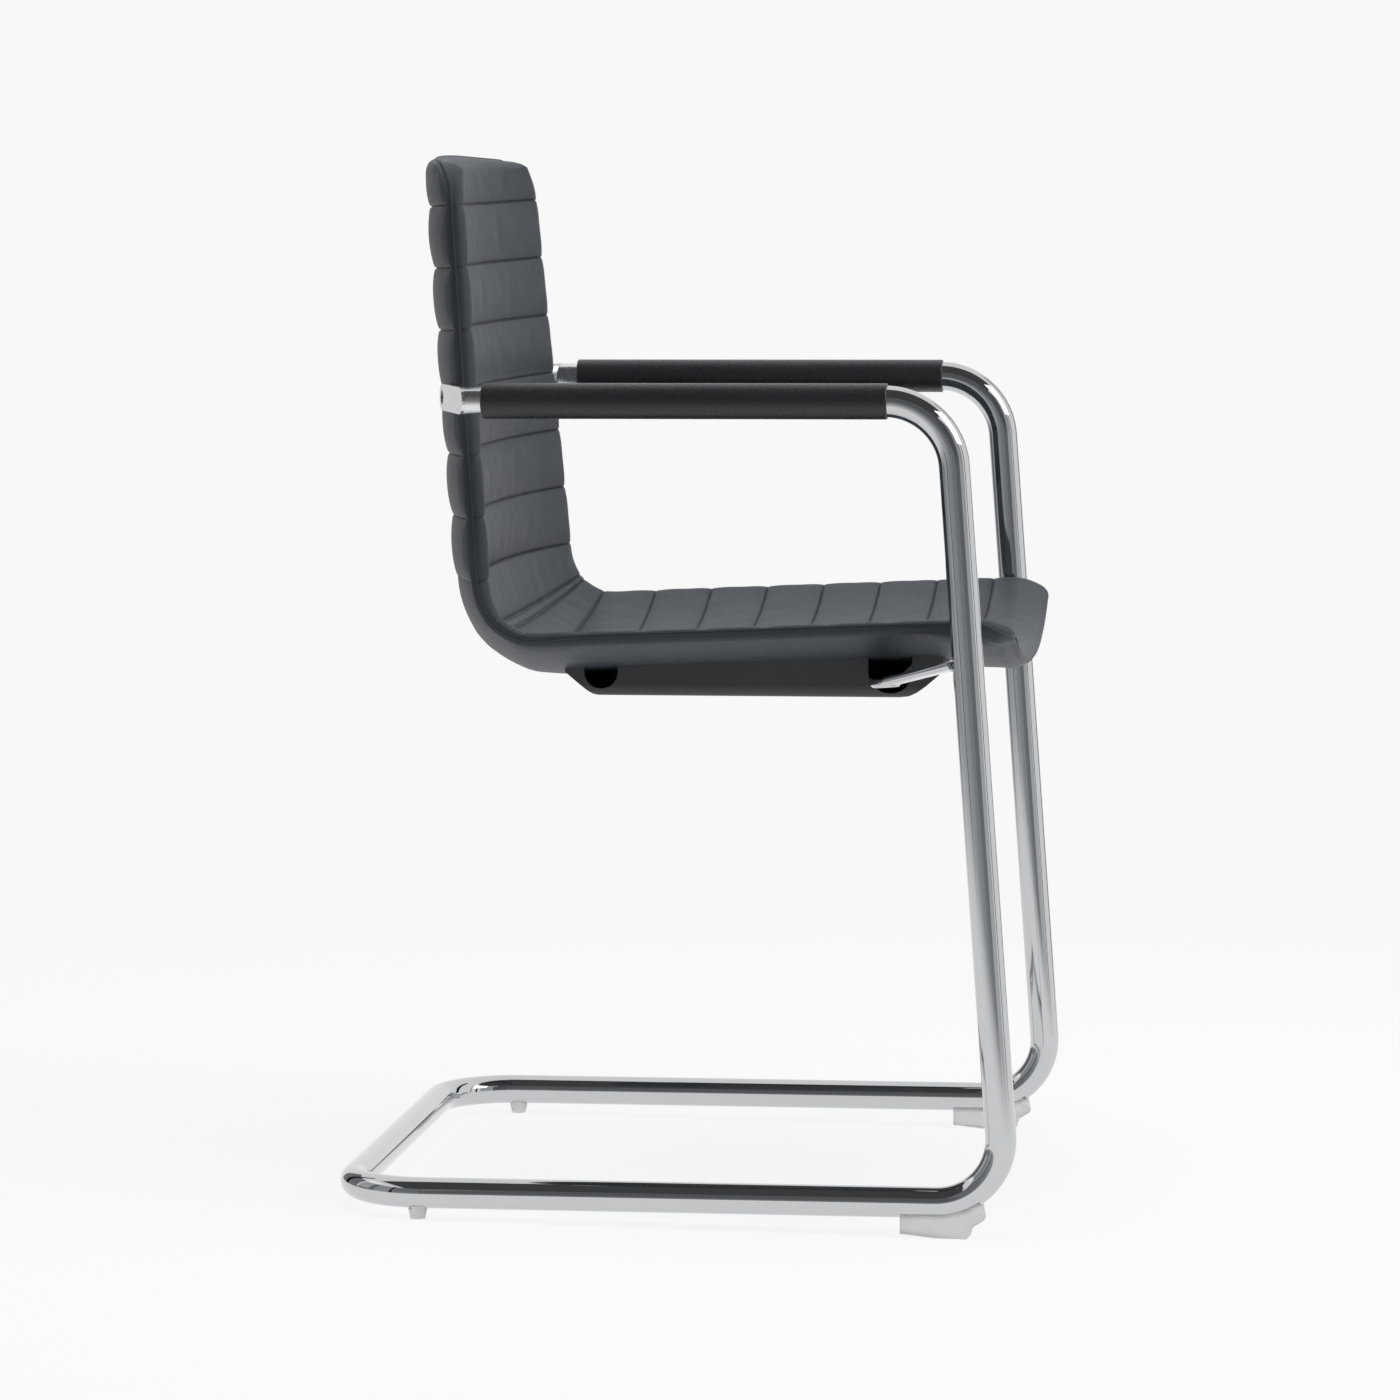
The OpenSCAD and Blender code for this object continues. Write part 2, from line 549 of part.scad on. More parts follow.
// the space that the belly of the seat takes, down to a small gap below it
module belly(gap) {
  cols = [for (c = concat([-0.97], mid_cols, [0.97])) c * seat_half];
  low = [for (x = cols) [x, rear_full(u_lip, x) - dish_at(x / seat_half) - gap]];
  translate([0, y_of(ridge_seat[0]), ridge_seat[1]]) rotate([90 - seat_rise, 0, 0])
    linear_extrude(seat_l) polygon(concat(low, [[0.97 * seat_half, cover_w], [-0.97 * seat_half, cover_w]]));
}
boss_r = 5;
boss_x = 85;
boss_f = [-300, -165];
screw_head_h = 2.2;
screw_head_r = 3.8;
boss_h = 26;
module at_cover_screws() for (s = [-1, 1]) for (f = boss_f)
  translate(spot(s * boss_x, f, cover_low)) children();
// from the cover's outside up to the middle of the shell above it
function screw_l(f) = seat_z(f) + shell_mid - dish_at(boss_x / seat_half) - cover_low;
module screw_rods(r, from, over) for (s = [-1, 1]) for (f = boss_f)
  translate(spot(s * boss_x, f, cover_low + from)) cylinder(h = screw_l(f) + over - from, r = r);
module underseat_cover() {
  color(plastic_dark) stand() difference() {
    union() {
      difference() { tray(0); tray(cover_wall); }
      at_cover_screws() translate([0, 0, cover_wall / 2]) cylinder(h = boss_h, r = boss_r);
    }
    belly(soft_gap);
    for (s = [-1, 1]) for (k = [0:1]) translate([s * cover_w / 2, y_of(notch_f[k]), notch_low[k] + notch_r[k]])
      rotate([0, 90, 0]) translate([0, 0, -cover_round - cover_wall])
        linear_extrude(2 * (cover_round + cover_wall)) notch_shape(notch_r[k]);
    screw_rods(screw_d / 2 + snug, -lap, lap);
    at_cover_screws() translate([0, 0, -lap])
      cylinder(h = lap + screw_head_h + soft_gap, r = screw_head_r + snug);
  }
}
module notch_shape(r) polygon(concat([for (a = [-90:15:90]) [r * cos(a), r * sin(a)]],
  [[-cover_w, r], [-cover_w, -r]]));
module cover_screws() color(steel) stand() difference() {
  union() {
    at_cover_screws() translate([0, 0, soft_gap]) cylinder(h = screw_head_h, r = screw_head_r);
    screw_rods(screw_d / 2, soft_gap + screw_head_h / 2, 0);
  }
  at_cover_screws() translate([0, 0, -lap]) cylinder(h = lap + screw_head_h * 0.7, r = screw_d / 3, $fn = 6);
}

// glides
stem_r = 3;
stem_l = 8;
front_stem_f = -72;
shoe_back_f = -84;
shoe_top = -9.5;
shoe_low = [-24.3, -29.9];
shoe_in_r = foot_r + tube_r / 2;
shoe_nose = [[-32.4, -29.9], [-27.4, -24.2], [-26.6, -18.6], [-16.2, -12], [-18.3, -1.5]];
module below_floor() translate([-big, -big, -big]) cube([2 * big, 2 * big, big]);
module front_glide(s) {
  foot_f = -foot_tan;
  inner = [for (a = [36:-12:0]) [foot_f + shoe_in_r * sin(a), foot_r - shoe_in_r * cos(a)]];
  color(clear_plastic) difference() {
    stand() {
      difference() {
        translate([s * half_w - glide_w[1] / 2, mid_f, 0]) rotate([90, 0, 90]) linear_extrude(glide_w[1])
          polygon([for (p = concat([[shoe_back_f, shoe_top], [shoe_back_f, shoe_low[0]]], shoe_nose,
            inner, [[foot_f, shoe_top]])) [-p[0], p[1]]]);
        leg_tube(s, tube_r + snug);
        side_bar(s * half_w, shoe_back_f - lap, 0, foot_f + lap, 0, tube_r + 2 * snug);
      }
      translate(spot(s * half_w, front_stem_f, -tube_r - lap)) cylinder(h = stem_l, r = stem_r);
    }
    below_floor();
  }
}
module front_glide_right() front_glide(-1);
module front_glide_left() front_glide(1);
module rear_glide(s) {
  color(clear_plastic) difference() {
    stand() {
      difference() {
        translate(spot(s * half_w, rear_foot_f, -tube_r - glide_drop[0] - lap))
          cylinder(h = glide_drop[0] + lap + tube_r / 4, r1 = glide_w[0] / 3, r2 = glide_w[0] / 2);
        side_bar(s * half_w, rear_foot_f - glide_w[0], 0, rear_foot_f + glide_w[0], 0, tube_r + snug);
        corner_bend(s, tube_r + snug);
      }
      translate(spot(s * half_w, rear_foot_f, -tube_r - lap)) cylinder(h = stem_l, r = stem_r);
    }
    below_floor();
  }
}
module rear_glide_right() rear_glide(-1);
module rear_glide_left() rear_glide(1);

frame_floor_loop();
frame_leg_right();
frame_leg_left();
frame_arm_right();
frame_arm_left();
seat_crossbar();
arm_sleeve_right();
arm_sleeve_left();
arm_bracket_right();
arm_bracket_left();
arm_bolts();
arm_tnuts();
seat_shell();
front_pad();
rear_pad();
edge_piping();
underseat_cover();
cover_screws();
seat_bolts();
seat_tnuts();
front_glide_right();
front_glide_left();
rear_glide_right();
rear_glide_left();
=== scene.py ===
import math

import bmesh
import bpy
from mathutils import Matrix, Vector, noise


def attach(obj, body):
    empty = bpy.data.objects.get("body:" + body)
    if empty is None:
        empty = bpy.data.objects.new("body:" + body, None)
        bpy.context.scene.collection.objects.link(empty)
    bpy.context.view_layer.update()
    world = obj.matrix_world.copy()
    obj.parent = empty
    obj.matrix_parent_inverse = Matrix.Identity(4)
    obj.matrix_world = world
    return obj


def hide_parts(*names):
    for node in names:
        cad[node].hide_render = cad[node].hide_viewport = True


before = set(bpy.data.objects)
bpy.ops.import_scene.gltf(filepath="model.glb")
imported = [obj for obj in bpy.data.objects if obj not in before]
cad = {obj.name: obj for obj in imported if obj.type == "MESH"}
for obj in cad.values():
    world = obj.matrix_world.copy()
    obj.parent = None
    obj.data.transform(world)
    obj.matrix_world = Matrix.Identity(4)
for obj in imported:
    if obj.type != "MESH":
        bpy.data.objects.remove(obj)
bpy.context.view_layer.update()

# Cantilever armchair: a bent chrome tube, a dished shell padded in stitched channels,
# arm sleeves and glides. Metres, the chair's own frame: +Z up, the sitter faces -Y.
# Places forward, f, count from where the legs' lines meet the floor tubes.

# --- sizes of the frame, the same as the solids' ---
TUBE_R, WALL_T = 0.0125, 0.0017
HALF_W = 0.260
FLOOR_L = 0.538
ARM_H, ARM_END = 0.640, 0.418
LEAN = math.radians(4)
CORNER_R, FOOT_R, TOP_R = 0.065, 0.052, 0.055
TILT = math.radians(0.9)
REAR_FOOT, REAR_GLIDE_H = -0.476, 0.0085
REACH_FRONT = 0.0079
MID_F = (REACH_FRONT - FLOOR_L - TUBE_R) / 2
LIFT = TUBE_R + REAR_GLIDE_H + (MID_F - REAR_FOOT) * math.sin(TILT)

# --- sizes of the padded shell, the same as the solids' ---
SEAT_HALF, BACK_HALF = 0.224, 0.188
DISH, DISH_POWER = 0.031, 2.6
BACK_LEAN, SEAT_RISE = 4.45, 2.36
BACK_L, BEND_R, SEAT_L = 0.344, 0.0395, 0.348
LIP_R, LIP_TURN = 0.050, 38
PAD_BACK, PAD_SEAT = 0.019, 0.016
WELT_T = (-0.010, -0.0026, -0.007)
PIPING_R = 0.0017
TOP_F, TOP_Z = -0.4459, 0.830

# --- sizes that follow the photograph more closely than the solids do ---
OUTLINE_R = (0.048, 0.036)  # the outline's corners at the top and at the lip
WELT_OUT = 0.0066  # the welt lies this far outside the shell
CROWN = 0.0024  # the padding stands up this much between two seams
TOP_SAG, TOP_FADE = 0.0065, 0.060  # the top's corners sink, down to this far below the top


def stand(f, x, z):
    """A point at forward distance f, side x and height z of the frame, set on the floor."""
    y = MID_F - f
    return Vector((x, y * math.cos(TILT) + z * math.sin(TILT),
                   -y * math.sin(TILT) + z * math.cos(TILT) + LIFT))


STAND = Matrix.Translation((0, 0, LIFT)) @ Matrix.Rotation(-TILT, 4, "X")

# --- camera, at the photograph's viewing angle ---
EYE_X, EYE_F, EYE_Z = -4.7893, 0.3325, 0.8367
YAW, PITCH, ROLL = 0.12667, 0.09493, -0.00389
FOCAL_PX, PHOTO_PX, SENSOR_MM = 5755, 1400, 36

look = Vector((math.cos(YAW), -math.sin(YAW), 0))
right = Vector((math.sin(YAW), math.cos(YAW), 0))
up = Vector((0, 0, 1))
look, up = (math.cos(PITCH) * look - math.sin(PITCH) * up,
            math.cos(PITCH) * up + math.sin(PITCH) * look)
right, up = (math.cos(ROLL) * right + math.sin(ROLL) * up,
             math.cos(ROLL) * up - math.sin(ROLL) * right)
camera_data = bpy.data.cameras.new("camera")
camera_data.sensor_width = SENSOR_MM
camera_data.lens = FOCAL_PX / PHOTO_PX * SENSOR_MM
camera_data.clip_end = 60
camera = bpy.data.objects.new("camera", camera_data)
bpy.context.scene.collection.objects.link(camera)
turn = Matrix([[v[0], -v[1], v[2]] for v in (right, up, -look)]).transposed().to_4x4()
camera.matrix_world = STAND @ Matrix.Translation((EYE_X, MID_F - EYE_F, EYE_Z)) @ turn
bpy.context.scene.camera = camera


# --- materials ---
def linear(hex_colour):
    """An sRGB hex colour as linear RGBA."""
    parts = [int(hex_colour[i:i + 2], 16) / 255 for i in (1, 3, 5)]
    return [p / 12.92 if p <= 0.04045 else ((p + 0.055) / 1.055) ** 2.4 for p in parts] + [1.0]


def add(owner, kind, settings=None, **inputs):
    """Adds a node to a material or the world.

    An input is named with _ for a space, or by its number as i0 or i1, and is a value or the
    output socket that feeds it. stops, among the settings, are a colour ramp's places and
    colours."""
    node = owner.node_tree.nodes.new(kind)
    for key, value in (settings or {}).items():
        if key != "stops":
            setattr(node, key, value)
            continue
        elements = node.color_ramp.elements
        while len(elements) < len(value):
            elements.new(0.5)
        for element, (place, colour) in zip(elements, value):
            element.position = place
            element.color = linear(colour)
    for key, value in inputs.items():
        name = key.replace("_", " ")
        numbered = name[0] == "i" and name[1:].isdigit()
        socket = node.inputs[int(name[1:])] if numbered else node.inputs[name]
        if isinstance(value, bpy.types.NodeSocket):
            owner.node_tree.links.new(value, socket)
        else:
            socket.default_value = value
    return node


def per_metre(mm):
    """The scale of a pattern whose cells are this many millimetres wide."""
    return 1000 / mm


def new_material(name):
    mat = bpy.data.materials.new(name)
    mat.use_nodes = True
    mat.node_tree.nodes.clear()
    return mat


def finish_material(mat, shader):
    add(mat, "ShaderNodeOutputMaterial", Surface=shader.outputs[0])
    return mat


def polished_chrome(name):
    # Chromium plating on polished steel: a clear mirror, faintly cool. Its roughness varies
    # in clouds of handling haze about 29 mm wide, and the ripple that drawing leaves on a
    # tube is about 17 mm long.
    mat = new_material(name)
    coord = add(mat, "ShaderNodeTexCoord").outputs["Object"]
    haze = add(mat, "ShaderNodeTexNoise", Vector=coord, Scale=per_metre(29.4), Detail=4.0)
    rough = add(mat, "ShaderNodeMapRange", Value=haze.outputs["Fac"], From_Min=0.35,
                From_Max=0.75, To_Min=0.045, To_Max=0.085)
    ripple = add(mat, "ShaderNodeTexNoise", Vector=coord, Scale=per_metre(16.67), Detail=1.0)
    bump = add(mat, "ShaderNodeBump", Strength=0.03, Distance=0.0006,
               Height=ripple.outputs["Fac"])
    shader = add(mat, "ShaderNodeBsdfPrincipled", Base_Color=linear("#c8cacc"), Metallic=1.0,
                 Roughness=rough.outputs[0], Normal=bump.outputs[0])
    return finish_material(mat, shader)


def satin_chrome(name):
    # Zinc casting, blasted and chromium-plated: bright and softly blurred, with a fine grain
    # of about 0.5 mm, drawn at 1.05 mm so that it shows.
    mat = new_material(name)
    coord = add(mat, "ShaderNodeTexCoord").outputs["Object"]
    grain = add(mat, "ShaderNodeTexNoise", Vector=coord, Scale=per_metre(1.0526), Detail=2.0)
    rough = add(mat, "ShaderNodeMapRange", Value=grain.outputs["Fac"], From_Min=0.3,
                From_Max=0.7, To_Min=0.2, To_Max=0.32)
    bump = add(mat, "ShaderNodeBump", Strength=0.12, Distance=0.0002,
               Height=grain.outputs["Fac"])
    shader = add(mat, "ShaderNodeBsdfPrincipled", Base_Color=linear("#e2e3e4"), Metallic=1.0,
                 Roughness=rough.outputs[0], Normal=bump.outputs[0])
    return finish_material(mat, shader)


def leatherette(name, base, dark, light, pebble_mm, painted_seam_shade=False, roughness=0.47, gloss=0.3):
    # PVC leatherette, embossed in small pebbles with creases 2.2 times as wide between them,
    # satin, in faint patches about 110 mm wide, with painted shade, near black, in the groove
    # that the thread pulls at a seam. The real pebbles are about 0.9 mm, drawn at 1.6 to 1.8 mm
    # so that they show.
    mat = new_material(name)
    coord = add(mat, "ShaderNodeTexCoord").outputs["Object"]
    pebble = add(mat, "ShaderNodeTexVoronoi", {"feature": "DISTANCE_TO_EDGE"}, Vector=coord,
                 Scale=per_metre(pebble_mm))
    pebble_h = add(mat, "ShaderNodeMapRange", Value=pebble.outputs["Distance"], From_Min=0.0,
                   From_Max=0.22)
    crease = add(mat, "ShaderNodeTexNoise", Vector=coord, Scale=per_metre(pebble_mm / 0.45),
                 Detail=5.0, Roughness=0.6)
    patch = add(mat, "ShaderNodeTexNoise", Vector=coord, Scale=per_metre(111.1), Detail=3.0)
    tone = add(mat, "ShaderNodeValToRGB", {"stops": [(0.3, dark), (0.55, base), (0.8, light)]},
               Fac=patch.outputs["Fac"]).outputs["Color"]
    height = add(mat, "ShaderNodeMath", {"operation": "ADD"}, i0=pebble_h.outputs[0],
                 i1=crease.outputs["Fac"])
    bump = add(mat, "ShaderNodeBump", Strength=0.3, Distance=0.0004, Height=height.outputs[0])
    rough = add(mat, "ShaderNodeMapRange", Value=crease.outputs["Fac"], From_Min=0.3,
                From_Max=0.7, To_Min=roughness - 0.05, To_Max=roughness + 0.07)
    # painted shade: the seam attribute mixes the colour towards near black in the seams' grooves
    if painted_seam_shade:
        seam = add(mat, "ShaderNodeAttribute", {"attribute_name": "seam"}).outputs["Fac"]
        shade = add(mat, "ShaderNodeMapRange", Value=seam, From_Min=0.0, From_Max=1.0,
                    To_Min=0.0, To_Max=0.5)
        tone = add(mat, "ShaderNodeMix", {"data_type": "RGBA"}, i0=shade.outputs[0], i6=tone,
                   i7=linear("#141517")).outputs[2]
    shader = add(mat, "ShaderNodeBsdfPrincipled", Base_Color=tone, Roughness=rough.outputs[0],
                 IOR=1.5, Normal=bump.outputs[0], Specular_IOR_Level=gloss, Sheen_Weight=0.04,
                 Sheen_Roughness=0.5)
    return finish_material(mat, shader)


def moulded_plastic(name, base, light):
    # Polypropylene, injection-moulded in a spark-eroded tool: a fine even grit of about
    # 0.5 mm, drawn at 1.1 mm so that it shows, and faint flow clouds about 140 mm wide.
    mat = new_material(name)
    coord = add(mat, "ShaderNodeTexCoord").outputs["Object"]
    grit = add(mat, "ShaderNodeTexNoise", Vector=coord, Scale=per_metre(1.1111), Detail=2.0)
    cloud = add(mat, "ShaderNodeTexNoise", Vector=coord, Scale=per_metre(142.9), Detail=2.0)
    tone = add(mat, "ShaderNodeValToRGB", {"stops": [(0.35, base), (0.75, light)]},
               Fac=cloud.outputs["Fac"])
    bump = add(mat, "ShaderNodeBump", Strength=0.16, Distance=0.0002,
               Height=grit.outputs["Fac"])
    rough = add(mat, "ShaderNodeMapRange", Value=grit.outputs["Fac"], To_Min=0.44, To_Max=0.58)
    shader = add(mat, "ShaderNodeBsdfPrincipled", Base_Color=tone.outputs["Color"],
                 Roughness=rough.outputs[0], IOR=1.49, Normal=bump.outputs[0])
    return finish_material(mat, shader)


def milky_nylon(name):
    # Natural nylon, moulded: milky and translucent, so light spreads inside it, with faint
    # clouds about 17 mm wide.
    mat = new_material(name)
    coord = add(mat, "ShaderNodeTexCoord").outputs["Object"]
    cloud = add(mat, "ShaderNodeTexNoise", Vector=coord, Scale=per_metre(16.67), Detail=2.0)
    tone = add(mat, "ShaderNodeValToRGB", {"stops": [(0.3, "#eef0f1"), (0.7, "#f8f9fa")]},
               Fac=cloud.outputs["Fac"])
    bump = add(mat, "ShaderNodeBump", Strength=0.1, Distance=0.0002,
               Height=cloud.outputs["Fac"])
    shader = add(mat, "ShaderNodeBsdfPrincipled", Base_Color=tone.outputs["Color"],
                 Roughness=0.32, IOR=1.53, Normal=bump.outputs[0], Transmission_Weight=0.7,
                 Subsurface_Weight=0.35, Subsurface_Radius=(0.004, 0.004, 0.004),
                 Subsurface_Scale=1.0)
    return finish_material(mat, shader)


def plated_steel(name, low, high):
    # Steel screws and nuts, zinc-plated or blackened: dull, with the fine marks of turning,
    # under 0.5 mm in fact and drawn at 2.4 mm.
    mat = new_material(name)
    coord = add(mat, "ShaderNodeTexCoord").outputs["Object"]
    grain = add(mat, "ShaderNodeTexNoise", Vector=coord, Scale=per_metre(2.381), Detail=3.0)
    rough = add(mat, "ShaderNodeMapRange", Value=grain.outputs["Fac"], To_Min=0.28, To_Max=0.45)
    tone = add(mat, "ShaderNodeValToRGB", {"stops": [(0.3, low), (0.7, high)]},
               Fac=grain.outputs["Fac"])
    shader = add(mat, "ShaderNodeBsdfPrincipled", Base_Color=tone.outputs["Color"],
                 Metallic=1.0, Roughness=rough.outputs[0])
    return finish_material(mat, shader)


def birch_ply(name):
    # Moulded birch plywood, sanded: pale straight grain, about 2.2 mm from line to line and
    # 33 mm long, across the chair.
    mat = new_material(name)
    coord = add(mat, "ShaderNodeTexCoord").outputs["Object"]
    stretch = add(mat, "ShaderNodeMapping", Vector=coord,
                  Scale=(per_metre(33.333), per_metre(2.2222), per_metre(2.2222)))
    grain = add(mat, "ShaderNodeTexNoise", Vector=stretch.outputs[0], Scale=1.0, Detail=4.0)
    tone = add(mat, "ShaderNodeValToRGB", {"stops": [(0.3, "#a98a5f"), (0.7, "#cbb084")]},
               Fac=grain.outputs["Fac"])
    shader = add(mat, "ShaderNodeBsdfPrincipled", Base_Color=tone.outputs["Color"],
                 Roughness=0.6)
    return finish_material(mat, shader)


CHROME = polished_chrome("polished_chrome")
SATIN_CHROME = satin_chrome("satin_chromed_casting")
PAD_LEATHER = leatherette("charcoal_leatherette", "#474e55", "#434a51", "#4c535a", 1.6129,
                          painted_seam_shade=True)
WELT_LEATHER = leatherette("welt_leatherette", "#3c4147", "#373c42", "#41464c", 1.6129)
ARM_LEATHER = leatherette("arm_leatherette", "#303236", "#2c2e32", "#36383c", 1.7857,
                          roughness=0.29, gloss=0.5)
COVER_PLASTIC = moulded_plastic("cover_polypropylene", "#4a4b4e", "#505154")
NYLON = milky_nylon("milky_nylon")
ZINC = plated_steel("zinc_plated_steel", "#8d9094", "#a9acb0")
BLACKENED = plated_steel("blackened_steel", "#191a1c", "#232527")
PLY = birch_ply("birch_plywood")


def give(obj, mat):
    obj.data.materials.clear()
    obj.data.materials.append(mat)


def make_object(name, bm, mat):
    """Turns a bmesh into a piece that rides on the chair."""
    mesh = bpy.data.meshes.new(name)
    bm.to_mesh(mesh)
    bm.free()
    for face in mesh.polygons:
        face.use_smooth = True
    obj = bpy.data.objects.new(name, mesh)
    bpy.context.scene.collection.objects.link(obj)
    mesh.materials.append(mat)
    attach(obj, "root")
    return obj


def new_verts(made):
    """The vertices among what an operator made."""
    return [g for g in made if isinstance(g, bmesh.types.BMVert)]


# --- the padded shell's surface ---
# u runs down the back's ridge, round the bend, along the seat and over the lip, x across,
# and t stands up from the surface that the seams lie in. Headings are in degrees.
HEAD_BACK, HEAD_SEAT = BACK_LEAN - 90, SEAT_RISE
BEND_L = BEND_R * math.radians(HEAD_SEAT - HEAD_BACK)
LIP_L = LIP_R * math.radians(LIP_TURN)
U_BEND = BACK_L
U_SEAT = U_BEND + BEND_L
U_LIP = U_SEAT + SEAT_L
U_END = U_LIP + LIP_L


def way(h):
    return Vector((math.cos(math.radians(h)), math.sin(math.radians(h))))


def across(h):
    return Vector((-math.sin(math.radians(h)), math.cos(math.radians(h))))


def heading(u):
    if u <= U_BEND:
        return HEAD_BACK
    if u <= U_SEAT:
        return HEAD_BACK + (HEAD_SEAT - HEAD_BACK) * (u - U_BEND) / BEND_L
    if u <= U_LIP:
        return HEAD_SEAT
    return HEAD_SEAT - math.degrees((u - U_LIP) / LIP_R)


RIDGE_TOP = Vector((TOP_F, TOP_Z))
RIDGE_BEND = RIDGE_TOP + BACK_L * way(HEAD_BACK)
BEND_MID = RIDGE_BEND + BEND_R * across(HEAD_BACK)
RIDGE_SEAT = BEND_MID - BEND_R * across(HEAD_SEAT)
LIP_MID = RIDGE_SEAT + SEAT_L * way(HEAD_SEAT) - LIP_R * across(HEAD_SEAT)


def ridge(u):
    if u <= U_BEND:
        return RIDGE_TOP + u * way(HEAD_BACK)
    if u <= U_SEAT:
        return BEND_MID - BEND_R * across(heading(u))
    if u <= U_LIP:
        return RIDGE_SEAT + (u - U_SEAT) * way(HEAD_SEAT)
    return LIP_MID + LIP_R * across(heading(u))


def mix(a, b, share):
    return a + (b - a) * min(1.0, max(0.0, share))


def corner_in(b, r):
    return r - math.sqrt(max(0.0, r * r - (r - b) ** 2)) if b < r else 0.0


def full_half(u):
    return mix(BACK_HALF, SEAT_HALF, u / U_BEND)


def half_at(u):
    return (full_half(u) - corner_in(max(0.0, u + WELT_OUT), OUTLINE_R[0])
            - corner_in(max(0.0, U_END + WELT_OUT - u), OUTLINE_R[1]))


def rim(u, x):
    """Distance in from the pads' outline, near its sides and ends."""
    return min(half_at(u) + WELT_OUT - abs(x), min(u, U_END - u) + WELT_OUT)


# in from the outline: where the pads' inner sheets rise from the shell's edge to its face,
# and over how much the back's corners lean back and the seams' grooves grow to full depth
LAP, LAP_END = 0.0142, 0.0148
EDGE_FADE = 0.016


def dish_share(u, x):
    """How far out x lies for the dish: outside the shell the back's top corners lean back."""
    half = half_at(u)
    if u < U_BEND:
        half = mix(full_half(u), half, rim(u, x) / EDGE_FADE)
    return min(1.0, abs(x) / half)


def dish_at(share):
    return DISH * (1 - abs(share) ** DISH_POWER)


def skin_at(u, x, t, out=0.0):
    """A point x to the side, t above the seams' surface; out runs on along the ridge.

    The lip sinks square to the seat, so its middle stays as far forward as its corners."""
    h = heading(u)
    sink = across(HEAD_SEAT if u > U_LIP else h) * dish_at(dish_share(u, x))
    if u < TOP_FADE:
        outside = max(0.0, 1 - rim(u, x) / LAP)
        out += TOP_SAG * (x / BACK_HALF) ** 2 * (1 - u / TOP_FADE) ** 2 * outside
    p = ridge(u) + across(h) * t - sink + way(h) * out
    return stand(p[0], x, p[1])


# the welt comes up from the back's side to the seat's within this many bends' length
WELT_RISE = 1.4


def welt_at(u):
    """The t at which the welt lies."""
    if u < U_LIP:
        return mix(WELT_T[0], WELT_T[1], (u - U_BEND) / (WELT_RISE * BEND_L))
    return mix(WELT_T[1], WELT_T[2], (u - U_LIP) / LIP_L)


# --- the seams, and the padding's height between them ---
BACK_SEAM, SEAT_SEAM = 0.034, 0.033
BACK_PITCH, SEAT_PITCH = 0.0505, 0.0498
BACK_SEAMS, SEAT_SEAMS = 7, 7
BEND_SEAM_SHARES = (0.375, 0.79)
SEAMS = ([BACK_SEAM + i * BACK_PITCH for i in range(BACK_SEAMS)]
         + [U_BEND + share * BEND_L for share in BEND_SEAM_SHARES]
         + [U_SEAT + SEAT_SEAM + i * SEAT_PITCH for i in range(SEAT_SEAMS)])
# the corner seam, the first in the bend, is sewn twice
DOUBLE_SEAM = SEAMS[BACK_SEAMS] + 0.0052
ALL_SEAMS = SEAMS[:BACK_SEAMS + 1] + [DOUBLE_SEAM] + SEAMS[BACK_SEAMS + 1:]
BACK_ONLY = SEAMS[:BACK_SEAMS]

# the end channels run on this far past the ridge's ends
OVERRUN = 0.012
FRONT_MARKS = [-OVERRUN] + ALL_SEAMS + [U_END + OVERRUN]
REAR_MARKS = [-OVERRUN] + BACK_ONLY

# channels narrower than this stand up less, down to the least share, and have this shape
FULL_PITCH, LEAST_SHARE, CHANNEL_POWER = 0.045, 0.24, 7
# the crown starts at this share on the outline, and is full this far in
RIM_SHARE, CROWN_FADE = 0.15, 0.035
GROOVE_DEPTH, GROOVE_HALF = 0.0015, 0.00095
# gathers at the seams: how high in front and behind, and how far from the seam they reach
FRONT_GATHER, REAR_GATHER, GATHER_REACH = 0.0004, 0.0003, 0.009
# two sizes of gathers, as noise cells a metre across and along the seat
GATHERS_WIDE, GATHERS_FINE = (95, 16), (210, 30)
FRONT_SEED, REAR_SEED = 3.0, 11.0

# half the height of the rim at the welt, and the radii of the rolls that lead up to it
RIM_HALF = 0.0016
FRONT_ROLL, REAR_ROLL, LIP_ROLL = 0.0125, 0.012, 0.0045
LIP_ROLL_BAND = 0.02
# the rear pad is thinner towards its sides, and swells where the lip springs from the seat
SIDE_THINNER = 0.003
LIP_ROOT, ROOT_SWELL = U_LIP - 0.035, 0.006
# the t of each pad's inner sheet, and its gap to the welt at the rim
FRONT_UNDER, REAR_OVER = -0.0045, -0.0115
FRONT_GAP, REAR_GAP, RIM_GAP = 0.0002, 0.0005, 0.0003


def gap_to(u, seams):
    return min(abs(u - seam) for seam in seams)


def thick_at(u):
    return mix(PAD_BACK, PAD_SEAT, (u - U_BEND) / BEND_L)


def ease(x):
    """A quarter circle's rise, from 0 at 0 to 1 at 1."""
    return math.sqrt(max(0.0, 1 - (1 - min(1.0, max(0.0, x))) ** 2))


def bell(distance, reach):
    return math.exp(-(distance / reach) ** 2)


def channel_height(u, full, marks):
    """How far the padding stands up between the seams in marks."""
    for a, b in zip(marks, marks[1:]):
        if a <= u <= b:
            top = full * min(1.0, max(LEAST_SHARE, (b - a) / FULL_PITCH))
            return top * (1 - abs(2 * (u - a) / (b - a) - 1) ** CHANNEL_POWER)
    return 0.0


def pucker(u, x, seed):
    """Small gathers where the cover is drawn into a seam."""
    wide, fine = GATHERS_WIDE, GATHERS_FINE
    return (noise.noise(Vector((x * wide[0] + seed, u * wide[1], seed)))
            + 0.5 * noise.noise(Vector((x * fine[0], u * fine[1], seed + 7))))


def stitch_groove(gap):
    """Depth of the sharp groove that the thread pulls, gap away from it."""
    return GROOVE_DEPTH * bell(gap, GROOVE_HALF)


